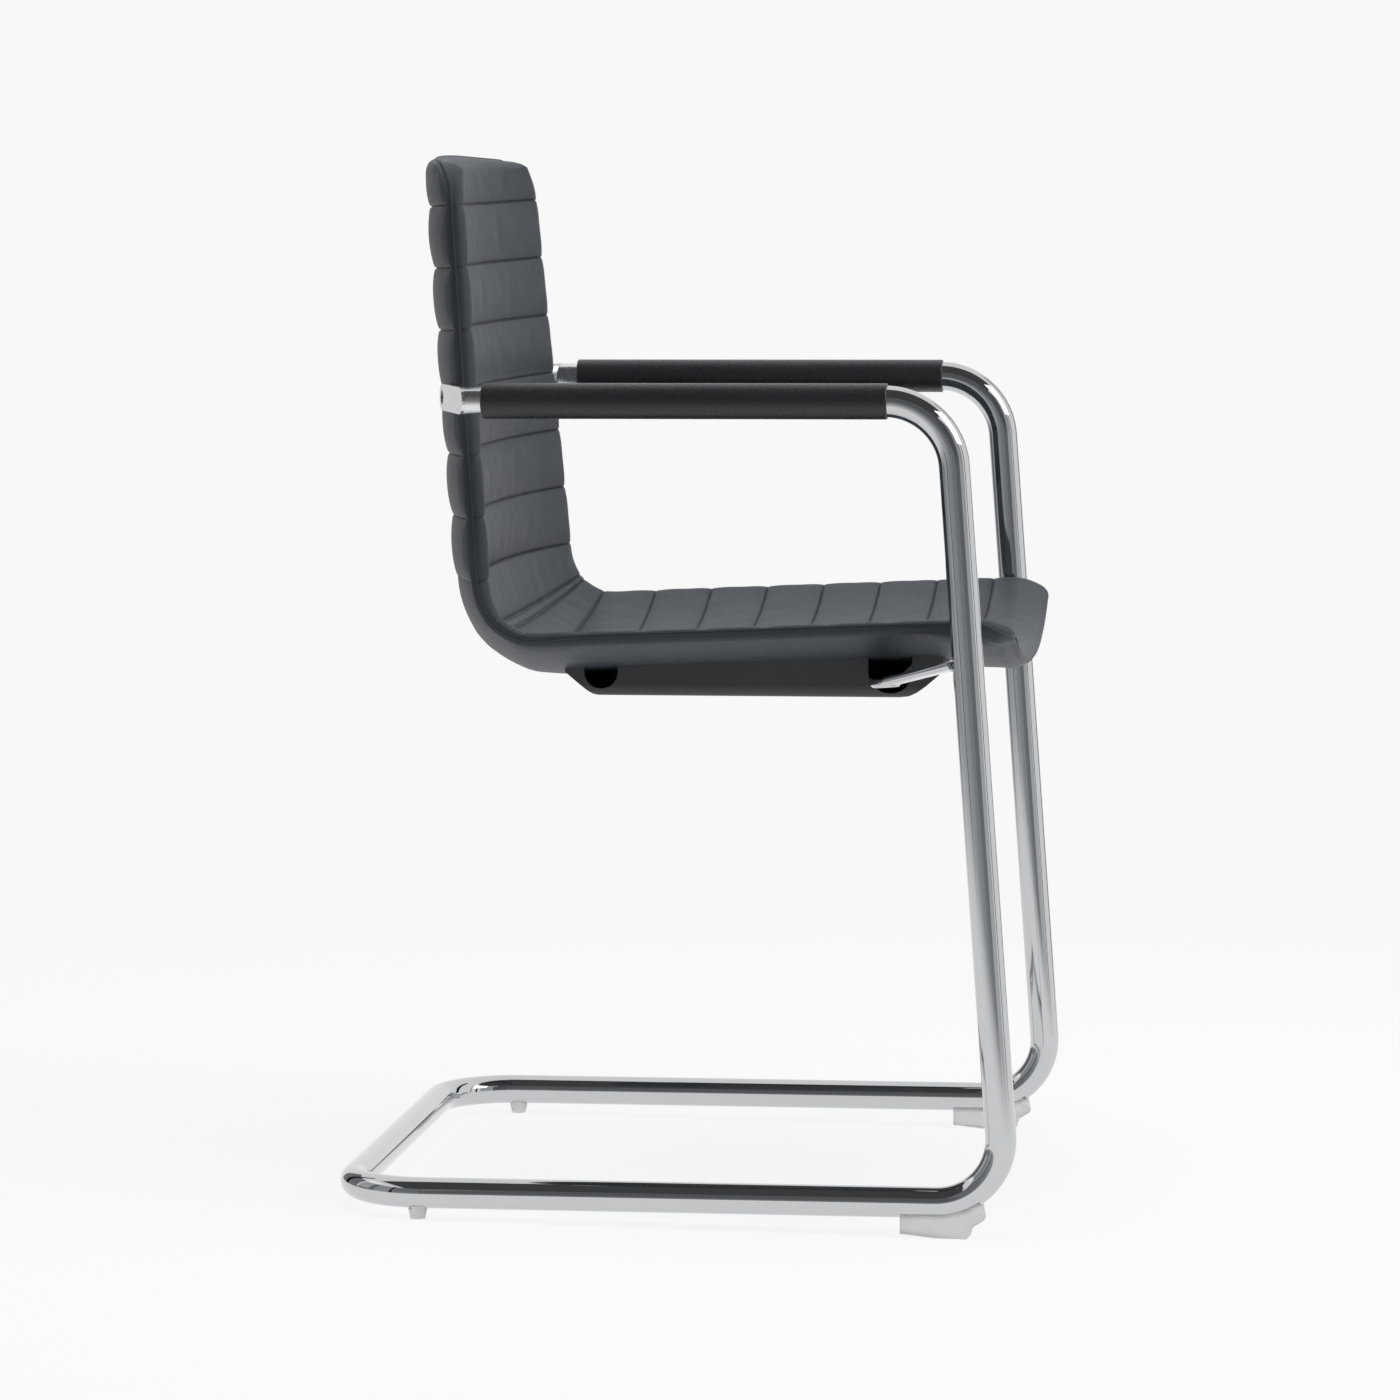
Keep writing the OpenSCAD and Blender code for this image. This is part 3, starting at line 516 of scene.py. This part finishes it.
def front_height(u, x):
    gap = gap_to(u, ALL_SEAMS)
    crown = CROWN * mix(RIM_SHARE, 1, ease(rim(u, x) / CROWN_FADE))
    full = channel_height(u, crown, FRONT_MARKS)
    full -= stitch_groove(gap) * min(1.0, rim(u, x) / EDGE_FADE)
    full += FRONT_GATHER * pucker(u, x, FRONT_SEED) * bell(gap, GATHER_REACH)
    return mix(welt_at(u) + RIM_HALF, full, ease(rim(u, x) / FRONT_ROLL))


def front_under(u, x):
    rise = (rim(u, x) - LAP) / (LAP_END - LAP)
    return mix(welt_at(u) + FRONT_GAP, FRONT_UNDER, rise)


def rear_height(u, x):
    thick = thick_at(u)
    full = -mix(thick - SIDE_THINNER, thick, dish_at(dish_share(u, x)) / DISH)
    if u > LIP_ROOT:
        along = (u - LIP_ROOT) / (U_END + WELT_OUT - LIP_ROOT)
        full -= ROOT_SWELL * math.sin(math.pi * along)
    if u < BACK_ONLY[-1]:
        gap = gap_to(u, BACK_ONLY)
        full -= channel_height(u, CROWN, REAR_MARKS)
        full += stitch_groove(gap)
        full -= REAR_GATHER * pucker(u, x, REAR_SEED) * bell(gap, GATHER_REACH)
    # the rim is rolled round the sides, and square under the lip
    roll = REAR_ROLL if U_END + WELT_OUT - u > LIP_ROLL_BAND else LIP_ROLL
    return mix(welt_at(u) - RIM_HALF - RIM_GAP, full, ease(rim(u, x) / roll))


def rear_over(u, x):
    rise = (rim(u, x) - LAP) / (LAP_END - LAP)
    return mix(welt_at(u) - REAR_GAP, REAR_OVER, rise)


# --- the pads' grids ---
# rows and columns lie close together at the seams and round the rolled rims: how far from
# a seam, from the outline's ends and in from its sides
SEAM_ROWS = (0.0005, 0.0011, 0.0022)
NARROW, NARROW_ROWS = 0.008, (0.0006, 0.0014)
END_ROWS = (0.0, 0.0005, 0.0015, 0.003, 0.005, 0.0075)
END_MARK = 0.004
SIDE_COLUMNS = (0.0, 0.0006, 0.0018, 0.0035, 0.0056, 0.008, 0.011, LAP, LAP_END)
SIDE_SPAN = 0.011
PAD_STEP = 0.0095


def rows_between(start, end):
    """Stations from start to end, close together near both."""
    lo, hi = start + SEAM_ROWS[-1], end - SEAM_ROWS[-1]
    n = max(1, round((hi - lo) / PAD_STEP))
    return ([start, start + SEAM_ROWS[0], start + SEAM_ROWS[1]]
            + [lo + i * (hi - lo) / n for i in range(n + 1)]
            + [end - SEAM_ROWS[1], end - SEAM_ROWS[0]])


def pad_rows():
    """Stations along the ridge: the rolled ends, every seam and the channels between."""
    marks = [END_MARK] + ALL_SEAMS + [U_END - END_MARK]
    roll = [d - WELT_OUT for d in END_ROWS]
    rows = list(roll)
    near, far = NARROW_ROWS
    for a, b in zip(marks, marks[1:]):
        rows += (rows_between(a, b) if b - a > NARROW
                 else [a, a + near, a + far, (a + b) / 2, b - far, b - near])
    rows.append(marks[-1])
    return rows + [U_END - r for r in reversed(roll)]


def inner_columns():
    """Stations across between the side columns, as shares of half that width."""
    n = round(2 * (SEAT_HALF - SIDE_SPAN) / PAD_STEP)
    return [-1 + 2 * i / n for i in range(1, n)]


def column_x(u, shares, j):
    w = half_at(u) + WELT_OUT
    sides = len(SIDE_COLUMNS)
    if j < sides:
        return SIDE_COLUMNS[j] - w
    if j < sides + len(shares):
        return shares[j - sides] * (w - SIDE_COLUMNS[-1])
    return w - SIDE_COLUMNS[sides * 2 + len(shares) - 1 - j]


# --- the cloth simulation ---
CLOTH_FRAMES = 20
# sewn down this close to a seam or to the outline
SEWN_SEAM, SEWN_RIM = 0.0012, 0.004
# the share of the cloth's movement that is kept, and the most that a point may move
KEPT_SWELL, MOST_BACK, MOST_SEAT = 0.7, 0.0022, 0.0005
# it may move that much on the back, as far as this beyond the first and the last seam there;
# the cover of the seat is pulled tight
SWELL_BEYOND = 0.05
# painted shade darkens the cover this close to a seam, in the groove that the thread pulls
SEAM_SHADE_REACH = 0.001


def swell(bm, name, sewn):
    """Where the sheet's points lie once it is blown up as cloth between its pinned seams."""
    mesh = bpy.data.meshes.new(name)
    bm.to_mesh(mesh)
    obj = bpy.data.objects.new(name, mesh)
    bpy.context.scene.collection.objects.link(obj)
    group = obj.vertex_groups.new(name="sewn")
    group.add(sewn, 1.0, "REPLACE")
    cloth = obj.modifiers.new("cloth", "CLOTH")
    cloth.settings.quality = 5
    cloth.settings.mass = 0.3
    cloth.settings.tension_stiffness = cloth.settings.compression_stiffness = 12
    cloth.settings.shear_stiffness = 4
    cloth.settings.bending_stiffness = 0.35
    cloth.settings.shrink_min = -0.003
    cloth.settings.use_pressure = True
    cloth.settings.uniform_pressure_force = 4
    cloth.settings.vertex_group_mass = "sewn"
    cloth.settings.effector_weights.gravity = 0
    cloth.collision_settings.use_collision = False
    scene = bpy.context.scene
    for f in range(1, CLOTH_FRAMES + 1):
        scene.frame_set(f)
    blown = obj.evaluated_get(bpy.context.evaluated_depsgraph_get()).to_mesh()
    places = [Vector(v.co) for v in blown.vertices]
    scene.frame_set(1)
    bpy.data.objects.remove(obj)
    bpy.data.meshes.remove(mesh)
    return places


def padding(name, height, under, seams, last):
    """A padded cover: the quilted sheet, its underside, and the rolled rim that joins them.

    Down to the seam called last, and a little beyond, the cloth may swell."""
    rows, shares = pad_rows(), inner_columns()
    nu, nx = len(rows) - 1, 2 * len(SIDE_COLUMNS) + len(shares) - 1
    bm = bmesh.new()
    bmesh.ops.create_grid(bm, x_segments=nx, y_segments=nu, size=1.0)
    bm.verts.ensure_lookup_table()
    flat = bm.verts.layers.float_vector.new("flat")
    seam = bm.verts.layers.float.new("seam")
    sewn = []
    for v in bm.verts:
        i, j = round((v.co.y + 1) / 2 * nu), round((v.co.x + 1) / 2 * nx)
        u, x = rows[i], column_x(rows[i], shares, j)
        v[flat] = (u, x, 0.0)
        gap = gap_to(u, seams)
        # the seam attribute paints shade into the groove along each seam
        v[seam] = bell(gap, SEAM_SHADE_REACH)
        v.co = skin_at(u, x, height(u, x))
        if gap < SEWN_SEAM or rim(u, x) < SEWN_RIM:
            sewn.append(v.index)
    bmesh.ops.recalc_face_normals(bm, faces=bm.faces)
    for v, to in zip(bm.verts, swell(bm, name + "_cloth", sewn)):
        move = (to - v.co) * KEPT_SWELL
        swells = seams[0] - SWELL_BEYOND < v[flat][0] < last + SWELL_BEYOND
        most = MOST_BACK if swells else MOST_SEAT
        if move.length > most:
            move *= most / move.length
        v.co = v.co + move
    inner = bmesh.ops.extrude_face_region(bm, geom=list(bm.faces))["geom"]
    for v in new_verts(inner):
        u, x, _ = v[flat]
        v[seam] = 0.0
        v.co = skin_at(u, x, under(u, x))
    bmesh.ops.recalc_face_normals(bm, faces=bm.faces)
    return bm


front = make_object("front_padding", padding(
    "front", front_height, front_under, ALL_SEAMS, DOUBLE_SEAM), PAD_LEATHER)
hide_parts("front_pad")
rear = make_object("rear_padding", padding(
    "rear", rear_height, rear_over, BACK_ONLY, BACK_ONLY[-1]), PAD_LEATHER)
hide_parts("rear_pad")
for pad in (front, rear):
    smooth = pad.modifiers.new("smooth", "SUBSURF")
    smooth.levels = smooth.render_levels = 1


# --- the welt cord round the whole outline ---
# points of its path: round each corner, where they spread out by squares, on a side and
# across an end
CORNER_POINTS, CORNER_STEP = 21, 0.00018
SIDE_STEPS, END_STEPS = 90, 24
# it lies this far outside the pads' outline and below their joint
WELT_OFF, WELT_SINK = 0.0002, 0.00015


def outline():
    """The pads' outline, as u and x."""
    corner = [CORNER_STEP * i * i - WELT_OUT for i in range(CORNER_POINTS)]
    span = U_END - 2 * corner[-1]
    us = (corner + [corner[-1] + i * span / SIDE_STEPS for i in range(1, SIDE_STEPS)]
          + [U_END - u for u in reversed(corner)])
    side = [(u, half_at(u) + WELT_OUT) for u in us]
    shares = [1 - 2 * i / END_STEPS for i in range(1, END_STEPS)]
    lip = [(us[-1], share * side[-1][1]) for share in shares]
    top = [(us[0], -share * side[0][1]) for share in shares]
    return side + lip + [(u, -x) for u, x in reversed(side)] + top


def welt_cord():
    pts = outline()
    n = len(pts)
    path = []
    for i, (u, x) in enumerate(pts):
        a, b = pts[i - 1], pts[(i + 1) % n]
        t = Vector((b[0] - a[0], b[1] - a[1])).normalized()
        out = Vector((-t[1], t[0])) * -WELT_OFF
        path.append(skin_at(u, x + out[1], welt_at(u) - WELT_SINK, out[0]))
    curve = bpy.data.curves.new("welt_path", "CURVE")
    curve.dimensions = "3D"
    curve.bevel_depth = PIPING_R
    curve.bevel_resolution = 3
    spline = curve.splines.new("POLY")
    spline.points.add(n - 1)
    spline.use_cyclic_u = True
    for point, p in zip(spline.points, path):
        point.co = (*p, 1)
    holder = bpy.data.objects.new("welt_path", curve)
    bpy.context.scene.collection.objects.link(holder)
    depsgraph = bpy.context.evaluated_depsgraph_get()
    mesh = bpy.data.meshes.new_from_object(holder.evaluated_get(depsgraph))
    bpy.data.objects.remove(holder)
    bm = bmesh.new()
    bm.from_mesh(mesh)
    return bm


welt = make_object("welt_cord", welt_cord(), WELT_LEATHER)
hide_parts("edge_piping")


# --- the bent tube, in one length ---
TUBE_SIDES, BEND_STEPS = 48, 24
MERGE = 0.00002
FLOOR_MIDDLE = 0.3


def bent_tube():
    bm = bmesh.new()
    lean = math.degrees(LEAN)
    top_turn, foot_turn = math.radians(90 - lean), math.radians(90 + lean)
    foot_tan, top_tan = FOOT_R * math.tan(foot_turn / 2), TOP_R * math.tan(top_turn / 2)
    arm_front = -ARM_H * math.tan(LEAN) - top_tan
    leg = ARM_H / math.cos(LEAN) - foot_tan - top_tan
    floor = FLOOR_L - CORNER_R - foot_tan
    quarter = math.pi / 2
    end = (Matrix.Translation((-HALF_W, MID_F + ARM_END, ARM_H))
           @ Matrix.Rotation(quarter, 4, "X"))
    last = bmesh.ops.create_circle(bm, segments=TUBE_SIDES, radius=TUBE_R, matrix=end)["verts"]
    heading_at = [Vector((0, -1, 0))]

    def edges_of(verts):
        return list({e for v in verts for e in v.link_edges if all(w in verts for w in e.verts)})

    def straight(verts, length):
        made = new_verts(bmesh.ops.extrude_edge_only(bm, edges=edges_of(set(verts)))["geom"])
        bmesh.ops.translate(bm, verts=made, vec=heading_at[0] * length)
        return made

    def bend(verts, centre, axis, angle):
        ring = set(verts)
        made = bmesh.ops.spin(bm, geom=list(ring) + edges_of(ring), cent=centre, axis=axis,
                              angle=angle, steps=BEND_STEPS, use_duplicate=False)
        heading_at[0] = Matrix.Rotation(angle, 3, Vector(axis)) @ heading_at[0]
        return new_verts(made["geom_last"])

    across_x, upright = (1, 0, 0), (0, 0, 1)
    top_y, foot_y = MID_F - arm_front, MID_F + foot_tan
    rear_y = MID_F + FLOOR_L - CORNER_R
    last = straight(last, ARM_END + arm_front)
    last = bend(last, (-HALF_W, top_y, ARM_H - TOP_R), across_x, top_turn)
    last = straight(last, leg)
    last = bend(last, (-HALF_W, foot_y, FOOT_R), across_x, foot_turn)
    last = straight(last, floor)
    last = bend(last, (CORNER_R - HALF_W, rear_y, 0), upright, -quarter)
    last = straight(last, 2 * (HALF_W - CORNER_R))
    last = bend(last, (HALF_W - CORNER_R, rear_y, 0), upright, -quarter)
    last = straight(last, floor)
    last = bend(last, (HALF_W, foot_y, FOOT_R), across_x, -foot_turn)
    last = straight(last, leg)
    last = bend(last, (HALF_W, top_y, ARM_H - TOP_R), across_x, -top_turn)
    straight(last, ARM_END + arm_front)
    bmesh.ops.remove_doubles(bm, verts=bm.verts, dist=MERGE)
    bmesh.ops.recalc_face_normals(bm, faces=bm.faces)
    # the tube is open at its ends, so the side that its faces point to is checked halfway
    # along a floor tube
    centre = Vector((-HALF_W, MID_F + FLOOR_MIDDLE, 0))
    probe = min(bm.faces, key=lambda face: (face.calc_center_median() - centre).length)
    if (probe.calc_center_median() - centre).dot(probe.normal) < 0:
        bmesh.ops.reverse_faces(bm, faces=bm.faces)
    bmesh.ops.transform(bm, matrix=STAND, verts=bm.verts)
    return bm


tube = make_object("bent_tube_frame", bent_tube(), CHROME)
wall = tube.modifiers.new("wall", "SOLIDIFY")
wall.thickness = WALL_T
wall.offset = -1
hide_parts("frame_floor_loop", "frame_leg_right", "frame_leg_left", "frame_arm_right",
            "frame_arm_left")

# --- the flat bar under the seat, bent at two knees and welded between the legs ---
BAR_F, BAR_W, BAR_T = -0.105, 0.022, 0.007
KNEE_X, BAR_LEG_Z, KNEE_R = 0.200, 0.434, 0.016
KNEE_STEPS = 10
BELLY_GAP = 0.0003
BAR_EDGE_R, BAR_EDGE_STEPS = 0.0027, 4
WELD_SINK = 0.0006
# edges that turn more than this, in radians, are rounded
SHARP = 1.0


def bar_middle():
    """Height of the bar's middle where it lies under the belly of the seat."""
    rise = math.radians(SEAT_RISE)
    reach = BAR_F - BAR_W / 2 - RIDGE_SEAT[0]
    seat = RIDGE_SEAT[1] + reach * math.tan(rise)
    return seat - (PAD_SEAT + DISH) / math.cos(rise) - BELLY_GAP - BAR_T / 2


def knee_and_foot():
    """Where the bar bends and where it ends in the leg, and the way from one to the other."""
    knee = Vector((KNEE_X, BAR_F, bar_middle()))
    foot = Vector((HALF_W, -BAR_LEG_Z * math.tan(LEAN), BAR_LEG_Z))
    return knee, foot, (foot - knee).normalized()


def flat_bar():
    knee, foot, away = knee_and_foot()
    turn = math.atan2(away[1], away[0])
    r = KNEE_R + BAR_W / 2
    cut = r * math.tan(turn / 2)
    start_x = KNEE_X - cut
    half = [Vector((0, BAR_F, knee[2])), Vector((start_x, BAR_F, knee[2]))]
    for i in range(1, KNEE_STEPS):
        share = i / KNEE_STEPS
        a = turn * share
        rise = (away[2] / math.hypot(away[0], away[1])) * max(0.0, share - 0.5) * cut
        half.append(Vector((start_x + r * math.sin(a), BAR_F + r * (1 - math.cos(a)),
                            knee[2] + rise)))
    start = knee + away * cut
    stop = foot - away * (TUBE_R - WELD_SINK)
    half += [start, (start + stop) / 2, stop]
    bm = bmesh.new()
    n = 2 * len(half) - 2
    bmesh.ops.create_grid(bm, x_segments=n, y_segments=1, size=1.0)
    line = [Vector((-p[0], p[1], p[2])) for p in reversed(half)] + half[1:]
    for v in bm.verts:
        i, edge = round((v.co.x + 1) / 2 * n), v.co.y
        a, b = line[max(0, i - 1)], line[min(n, i + 1)]
        flow = Vector((b[0] - a[0], b[1] - a[1], 0)).normalized()
        p = line[i] + Vector((-flow[1], flow[0], 0)) * edge * BAR_W / 2
        v.co = Vector((p[0], MID_F - p[1], p[2] + BAR_T / 2))
    made = bmesh.ops.extrude_face_region(bm, geom=list(bm.faces))["geom"]
    bmesh.ops.translate(bm, vec=(0, 0, -BAR_T), verts=new_verts(made))
    bmesh.ops.recalc_face_normals(bm, faces=bm.faces)
    bm.normal_update()
    sharp = [e for e in bm.edges if len(e.link_faces) == 2 and e.calc_face_angle() > SHARP]
    bmesh.ops.bevel(bm, geom=sharp, offset=BAR_EDGE_R, offset_type="OFFSET", affect="EDGES",
                    segments=BAR_EDGE_STEPS, profile=0.5, material=-1)
    bmesh.ops.transform(bm, matrix=STAND, verts=bm.verts)
    return bm


bar = make_object("seat_crossbar_bar", flat_bar(), CHROME)
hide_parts("seat_crossbar")

# --- the welds ---
BEADS, BEAD_R, BEAD_MORE = 9, 0.0017, 0.0002
BEAD_OFF, BEAD_RISE = 0.0004, 0.0002
# the row of beads follows the leg's round up to this share of its radius
BEAD_REACH = 0.82


def weld_beads():
    """Small overlapping beads where the bar's ends meet the legs, above and below."""
    bm = bmesh.new()
    _, foot, away = knee_and_foot()
    wide = Vector((-away[1], away[0], 0)).normalized()
    for side in (-1, 1):
        for level in (-1, 1):
            for i in range(BEADS):
                share = 2 * i / (BEADS - 1) - 1
                depth = TUBE_R * math.sqrt(max(0.0, 1 - (share * BEAD_REACH) ** 2)) + BEAD_OFF
                p = (foot - away * depth + wide * share * BAR_W / 2
                     + Vector((0, 0, level * (BAR_T / 2 + BEAD_RISE))))
                place = Matrix.Translation((side * p[0], MID_F - p[1], p[2]))
                bmesh.ops.create_uvsphere(bm, u_segments=12, v_segments=8,
                                          radius=BEAD_R + BEAD_MORE * (i % 2), matrix=place)
    bmesh.ops.transform(bm, matrix=STAND, verts=bm.verts)
    return bm


make_object("crossbar_welds", weld_beads(), CHROME)

# --- the parts whose solids already have the right shape ---
for node in ("arm_bracket_right", "arm_bracket_left"):
    give(cad[node], SATIN_CHROME)
for node in ("arm_sleeve_right", "arm_sleeve_left"):
    give(cad[node], ARM_LEATHER)
for node in ("front_glide_right", "front_glide_left", "rear_glide_right", "rear_glide_left"):
    give(cad[node], NYLON)
for node in ("arm_tnuts", "cover_screws", "seat_bolts", "seat_tnuts"):
    give(cad[node], ZINC)
give(cad["arm_bolts"], BLACKENED)
give(cad["underseat_cover"], COVER_PLASTIC)
give(cad["seat_shell"], PLY)

# --- floor ---
FLOOR_R = 14.0
# seen directly, the floor fades into the world's white between these distances
FADE_FROM, FADE_TO = 0.9, 2.2


def seen_rays(owner):
    """1 for rays that show the background itself: the camera's, glossy and transmitted."""
    paths = add(owner, "ShaderNodeLightPath").outputs
    most = {"operation": "MAXIMUM"}
    first = add(owner, "ShaderNodeMath", most, i0=paths["Is Camera Ray"],
                i1=paths["Is Glossy Ray"])
    return add(owner, "ShaderNodeMath", most, i0=first.outputs[0],
               i1=paths["Is Transmission Ray"]).outputs[0]


def pale_floor(name):
    # Seamless white paper, evenly lit. Seen directly it glows and keeps only a faint shadow,
    # and further out it gives way to the world's white.
    mat = new_material(name)
    seen = seen_rays(mat)
    plain = add(mat, "ShaderNodeBsdfDiffuse", Color=linear("#e4e5e6"))
    shaded = add(mat, "ShaderNodeBsdfDiffuse", Color=linear("#808182"))
    glow = add(mat, "ShaderNodeEmission", Color=linear("#ffffff"), Strength=0.84)
    shown = add(mat, "ShaderNodeAddShader", i0=shaded.outputs[0], i1=glow.outputs[0])
    near = add(mat, "ShaderNodeMixShader", i0=seen, i1=plain.outputs[0], i2=shown.outputs[0])
    coord = add(mat, "ShaderNodeTexCoord").outputs["Object"]
    reach = add(mat, "ShaderNodeVectorMath", {"operation": "LENGTH"}, i0=coord)
    fade = add(mat, "ShaderNodeMapRange", {"interpolation_type": "SMOOTHSTEP"},
               Value=reach.outputs["Value"], From_Min=FADE_FROM, From_Max=FADE_TO)
    gone = add(mat, "ShaderNodeMath", {"operation": "MULTIPLY"}, i0=fade.outputs[0], i1=seen)
    clear = add(mat, "ShaderNodeBsdfTransparent", Color=(1, 1, 1, 1))
    shader = add(mat, "ShaderNodeMixShader", i0=gone.outputs[0], i1=near.outputs[0],
                 i2=clear.outputs[0])
    return finish_material(mat, shader)


def stage_object(name, bm, mat):
    """Turns a bmesh into a piece of the set, which isn't part of the chair."""
    mesh = bpy.data.meshes.new(name)
    bm.to_mesh(mesh)
    bm.free()
    obj = bpy.data.objects.new(name, mesh)
    bpy.context.scene.collection.objects.link(obj)
    mesh.materials.append(mat)
    return obj


disc = bmesh.new()
bmesh.ops.create_circle(disc, cap_ends=True, segments=64, radius=FLOOR_R)
stage_object("floor", disc, pale_floor("pale_floor"))

# --- the world: a soft dim light, and white where it is seen ---
world = bpy.data.worlds.new("studio")
bpy.context.scene.world = world
world.use_nodes = True
world.node_tree.nodes.clear()
soft = add(world, "ShaderNodeBackground", Color=linear("#eceef0"), Strength=0.2)
white = add(world, "ShaderNodeBackground", Color=linear("#f8f8f8"), Strength=1.0)
backdrop = add(world, "ShaderNodeMixShader", i0=seen_rays(world), i1=soft.outputs[0],
               i2=white.outputs[0])
add(world, "ShaderNodeOutputWorld", Surface=backdrop.outputs[0])


# --- lamps ---
def lamp(name, size, place, aim, watts):
    light = bpy.data.lights.new(name, "AREA")
    light.shape = "RECTANGLE"
    light.size, light.size_y = size
    light.energy = watts
    obj = bpy.data.objects.new(name, light)
    bpy.context.scene.collection.objects.link(obj)
    place = Vector(place)
    facing = (Vector(aim) - place).to_track_quat("-Z", "Y").to_matrix().to_4x4()
    obj.matrix_world = Matrix.Translation(place) @ facing
    return obj


lamp("key_softbox", (2.0, 1.8), (-0.6, -2.8, 2.5), (0, 0, 0.5), 34)
overhead = lamp("top_softbox", (2.4, 2.4), (-0.2, 0.0, 3.2), (0, 0, 0.4), 31)
# the photograph shows no lamp in the tubes' tops
overhead.visible_glossy = False
lamp("rear_softbox", (1.2, 2.2), (-0.2, 3.0, 1.4), (0, 0, 0.5), 2.5)

# --- the dim studio round the set, which only the shiny parts show ---
# Grey walls all round the camera's side, a dark ceiling, and black flags that draw the dark
# streaks on the chrome. Bare cards are plain light, so they have no pattern of their own.
WALL_SIZE, WALL_REACH, WALL_Z = (3.3, 7.6), 6.4, 0.6
FLAG_H, FLAG_Z = 3.6, 1.2
CEILING_SIZE, CEILING_X, CEILING_Z = (7.2, 7.2), -3.2, 4.4
# the heights between which a wall's tone runs, and where it passes its low tone
WALL_LOW, WALL_HIGH, WALL_TURN = -1.2, 1.4, 0.38


def card_material(name, colour):
    mat = new_material(name)
    shader = add(mat, "ShaderNodeEmission", Color=linear(colour), Strength=1.0)
    return finish_material(mat, shader)


def wall_material(name, low, high):
    """A card that grows lighter downwards, most of all near the floor and below it."""
    mat = new_material(name)
    place = add(mat, "ShaderNodeTexCoord").outputs["Object"]
    height = add(mat, "ShaderNodeSeparateXYZ", Vector=place).outputs["Z"]
    share = add(mat, "ShaderNodeMapRange", Value=height, From_Min=WALL_LOW, From_Max=WALL_HIGH)
    tone = add(mat, "ShaderNodeValToRGB",
               {"stops": [(0.0, "#bec0c2"), (WALL_TURN, low), (1.0, high)]},
               Fac=share.outputs[0])
    shader = add(mat, "ShaderNodeEmission", Color=tone.outputs["Color"], Strength=1.0)
    return finish_material(mat, shader)


BLACK_CARD = card_material("black_card", "#141517")
DARK_CARD = card_material("dark_card", "#4a4b4d")


def card(name, size, place, aim, mat):
    """A flat card at place, facing aim, that only glossy rays see."""
    bm = bmesh.new()
    bmesh.ops.create_grid(bm, x_segments=1, y_segments=1, size=0.5)
    bmesh.ops.scale(bm, vec=(size[0], size[1], 1), verts=bm.verts)
    place = Vector(place)
    facing = (Vector(aim) - place).to_track_quat("Z", "Y").to_matrix().to_4x4()
    bmesh.ops.transform(bm, matrix=Matrix.Translation(place) @ facing, verts=bm.verts)
    obj = stage_object(name, bm, mat)
    obj.visible_camera = obj.visible_diffuse = obj.visible_shadow = False
    obj.visible_transmission = False


def round_the_set(azimuth, reach, height):
    """A place azimuth degrees round from the camera's side, towards the sitter's front."""
    turned = math.radians(azimuth)
    return -reach * math.cos(turned), -reach * math.sin(turned), height


for name, azimuth, low, high in (("wall_left_far", -112, "#8d8f91", "#7a7c7e"),
                                 ("wall_left", -82, "#8a8c8e", "#76787a"),
                                 ("wall_behind_left", -126, "#8d8f91", "#7a7c7e"),
                                 ("wall_left_near", -56, "#b2b4b6", "#a2a4a6"),
                                 ("wall_rear", -29, "#a0a2a4", "#7c7e80"),
                                 ("wall_middle", 0, "#929496", "#66686a"),
                                 ("wall_front", 29, "#838587", "#5c5e60"),
                                 ("wall_key", 58, "#c6c8ca", "#aeb0b2")):
    card(name, WALL_SIZE, round_the_set(azimuth, WALL_REACH, WALL_Z), (0, 0, WALL_Z),
         wall_material(name, low, high))
for name, azimuth, reach, width in (("flag_left", -46, 4.2, 0.3),
                                    ("flag_right", 82, 3.8, 0.3),
                                    ("flag_far_front", 141, 2.6, 0.45),
                                    ("flag_far_rear", -118, 2.8, 0.35)):
    card(name, (width, FLAG_H), round_the_set(azimuth, reach, FLAG_Z), (0, 0, FLAG_Z),
         BLACK_CARD)
card("ceiling", CEILING_SIZE, (CEILING_X, 0, CEILING_Z), (CEILING_X, 0, 0), DARK_CARD)

bpy.context.scene.view_settings.view_transform = "Standard"
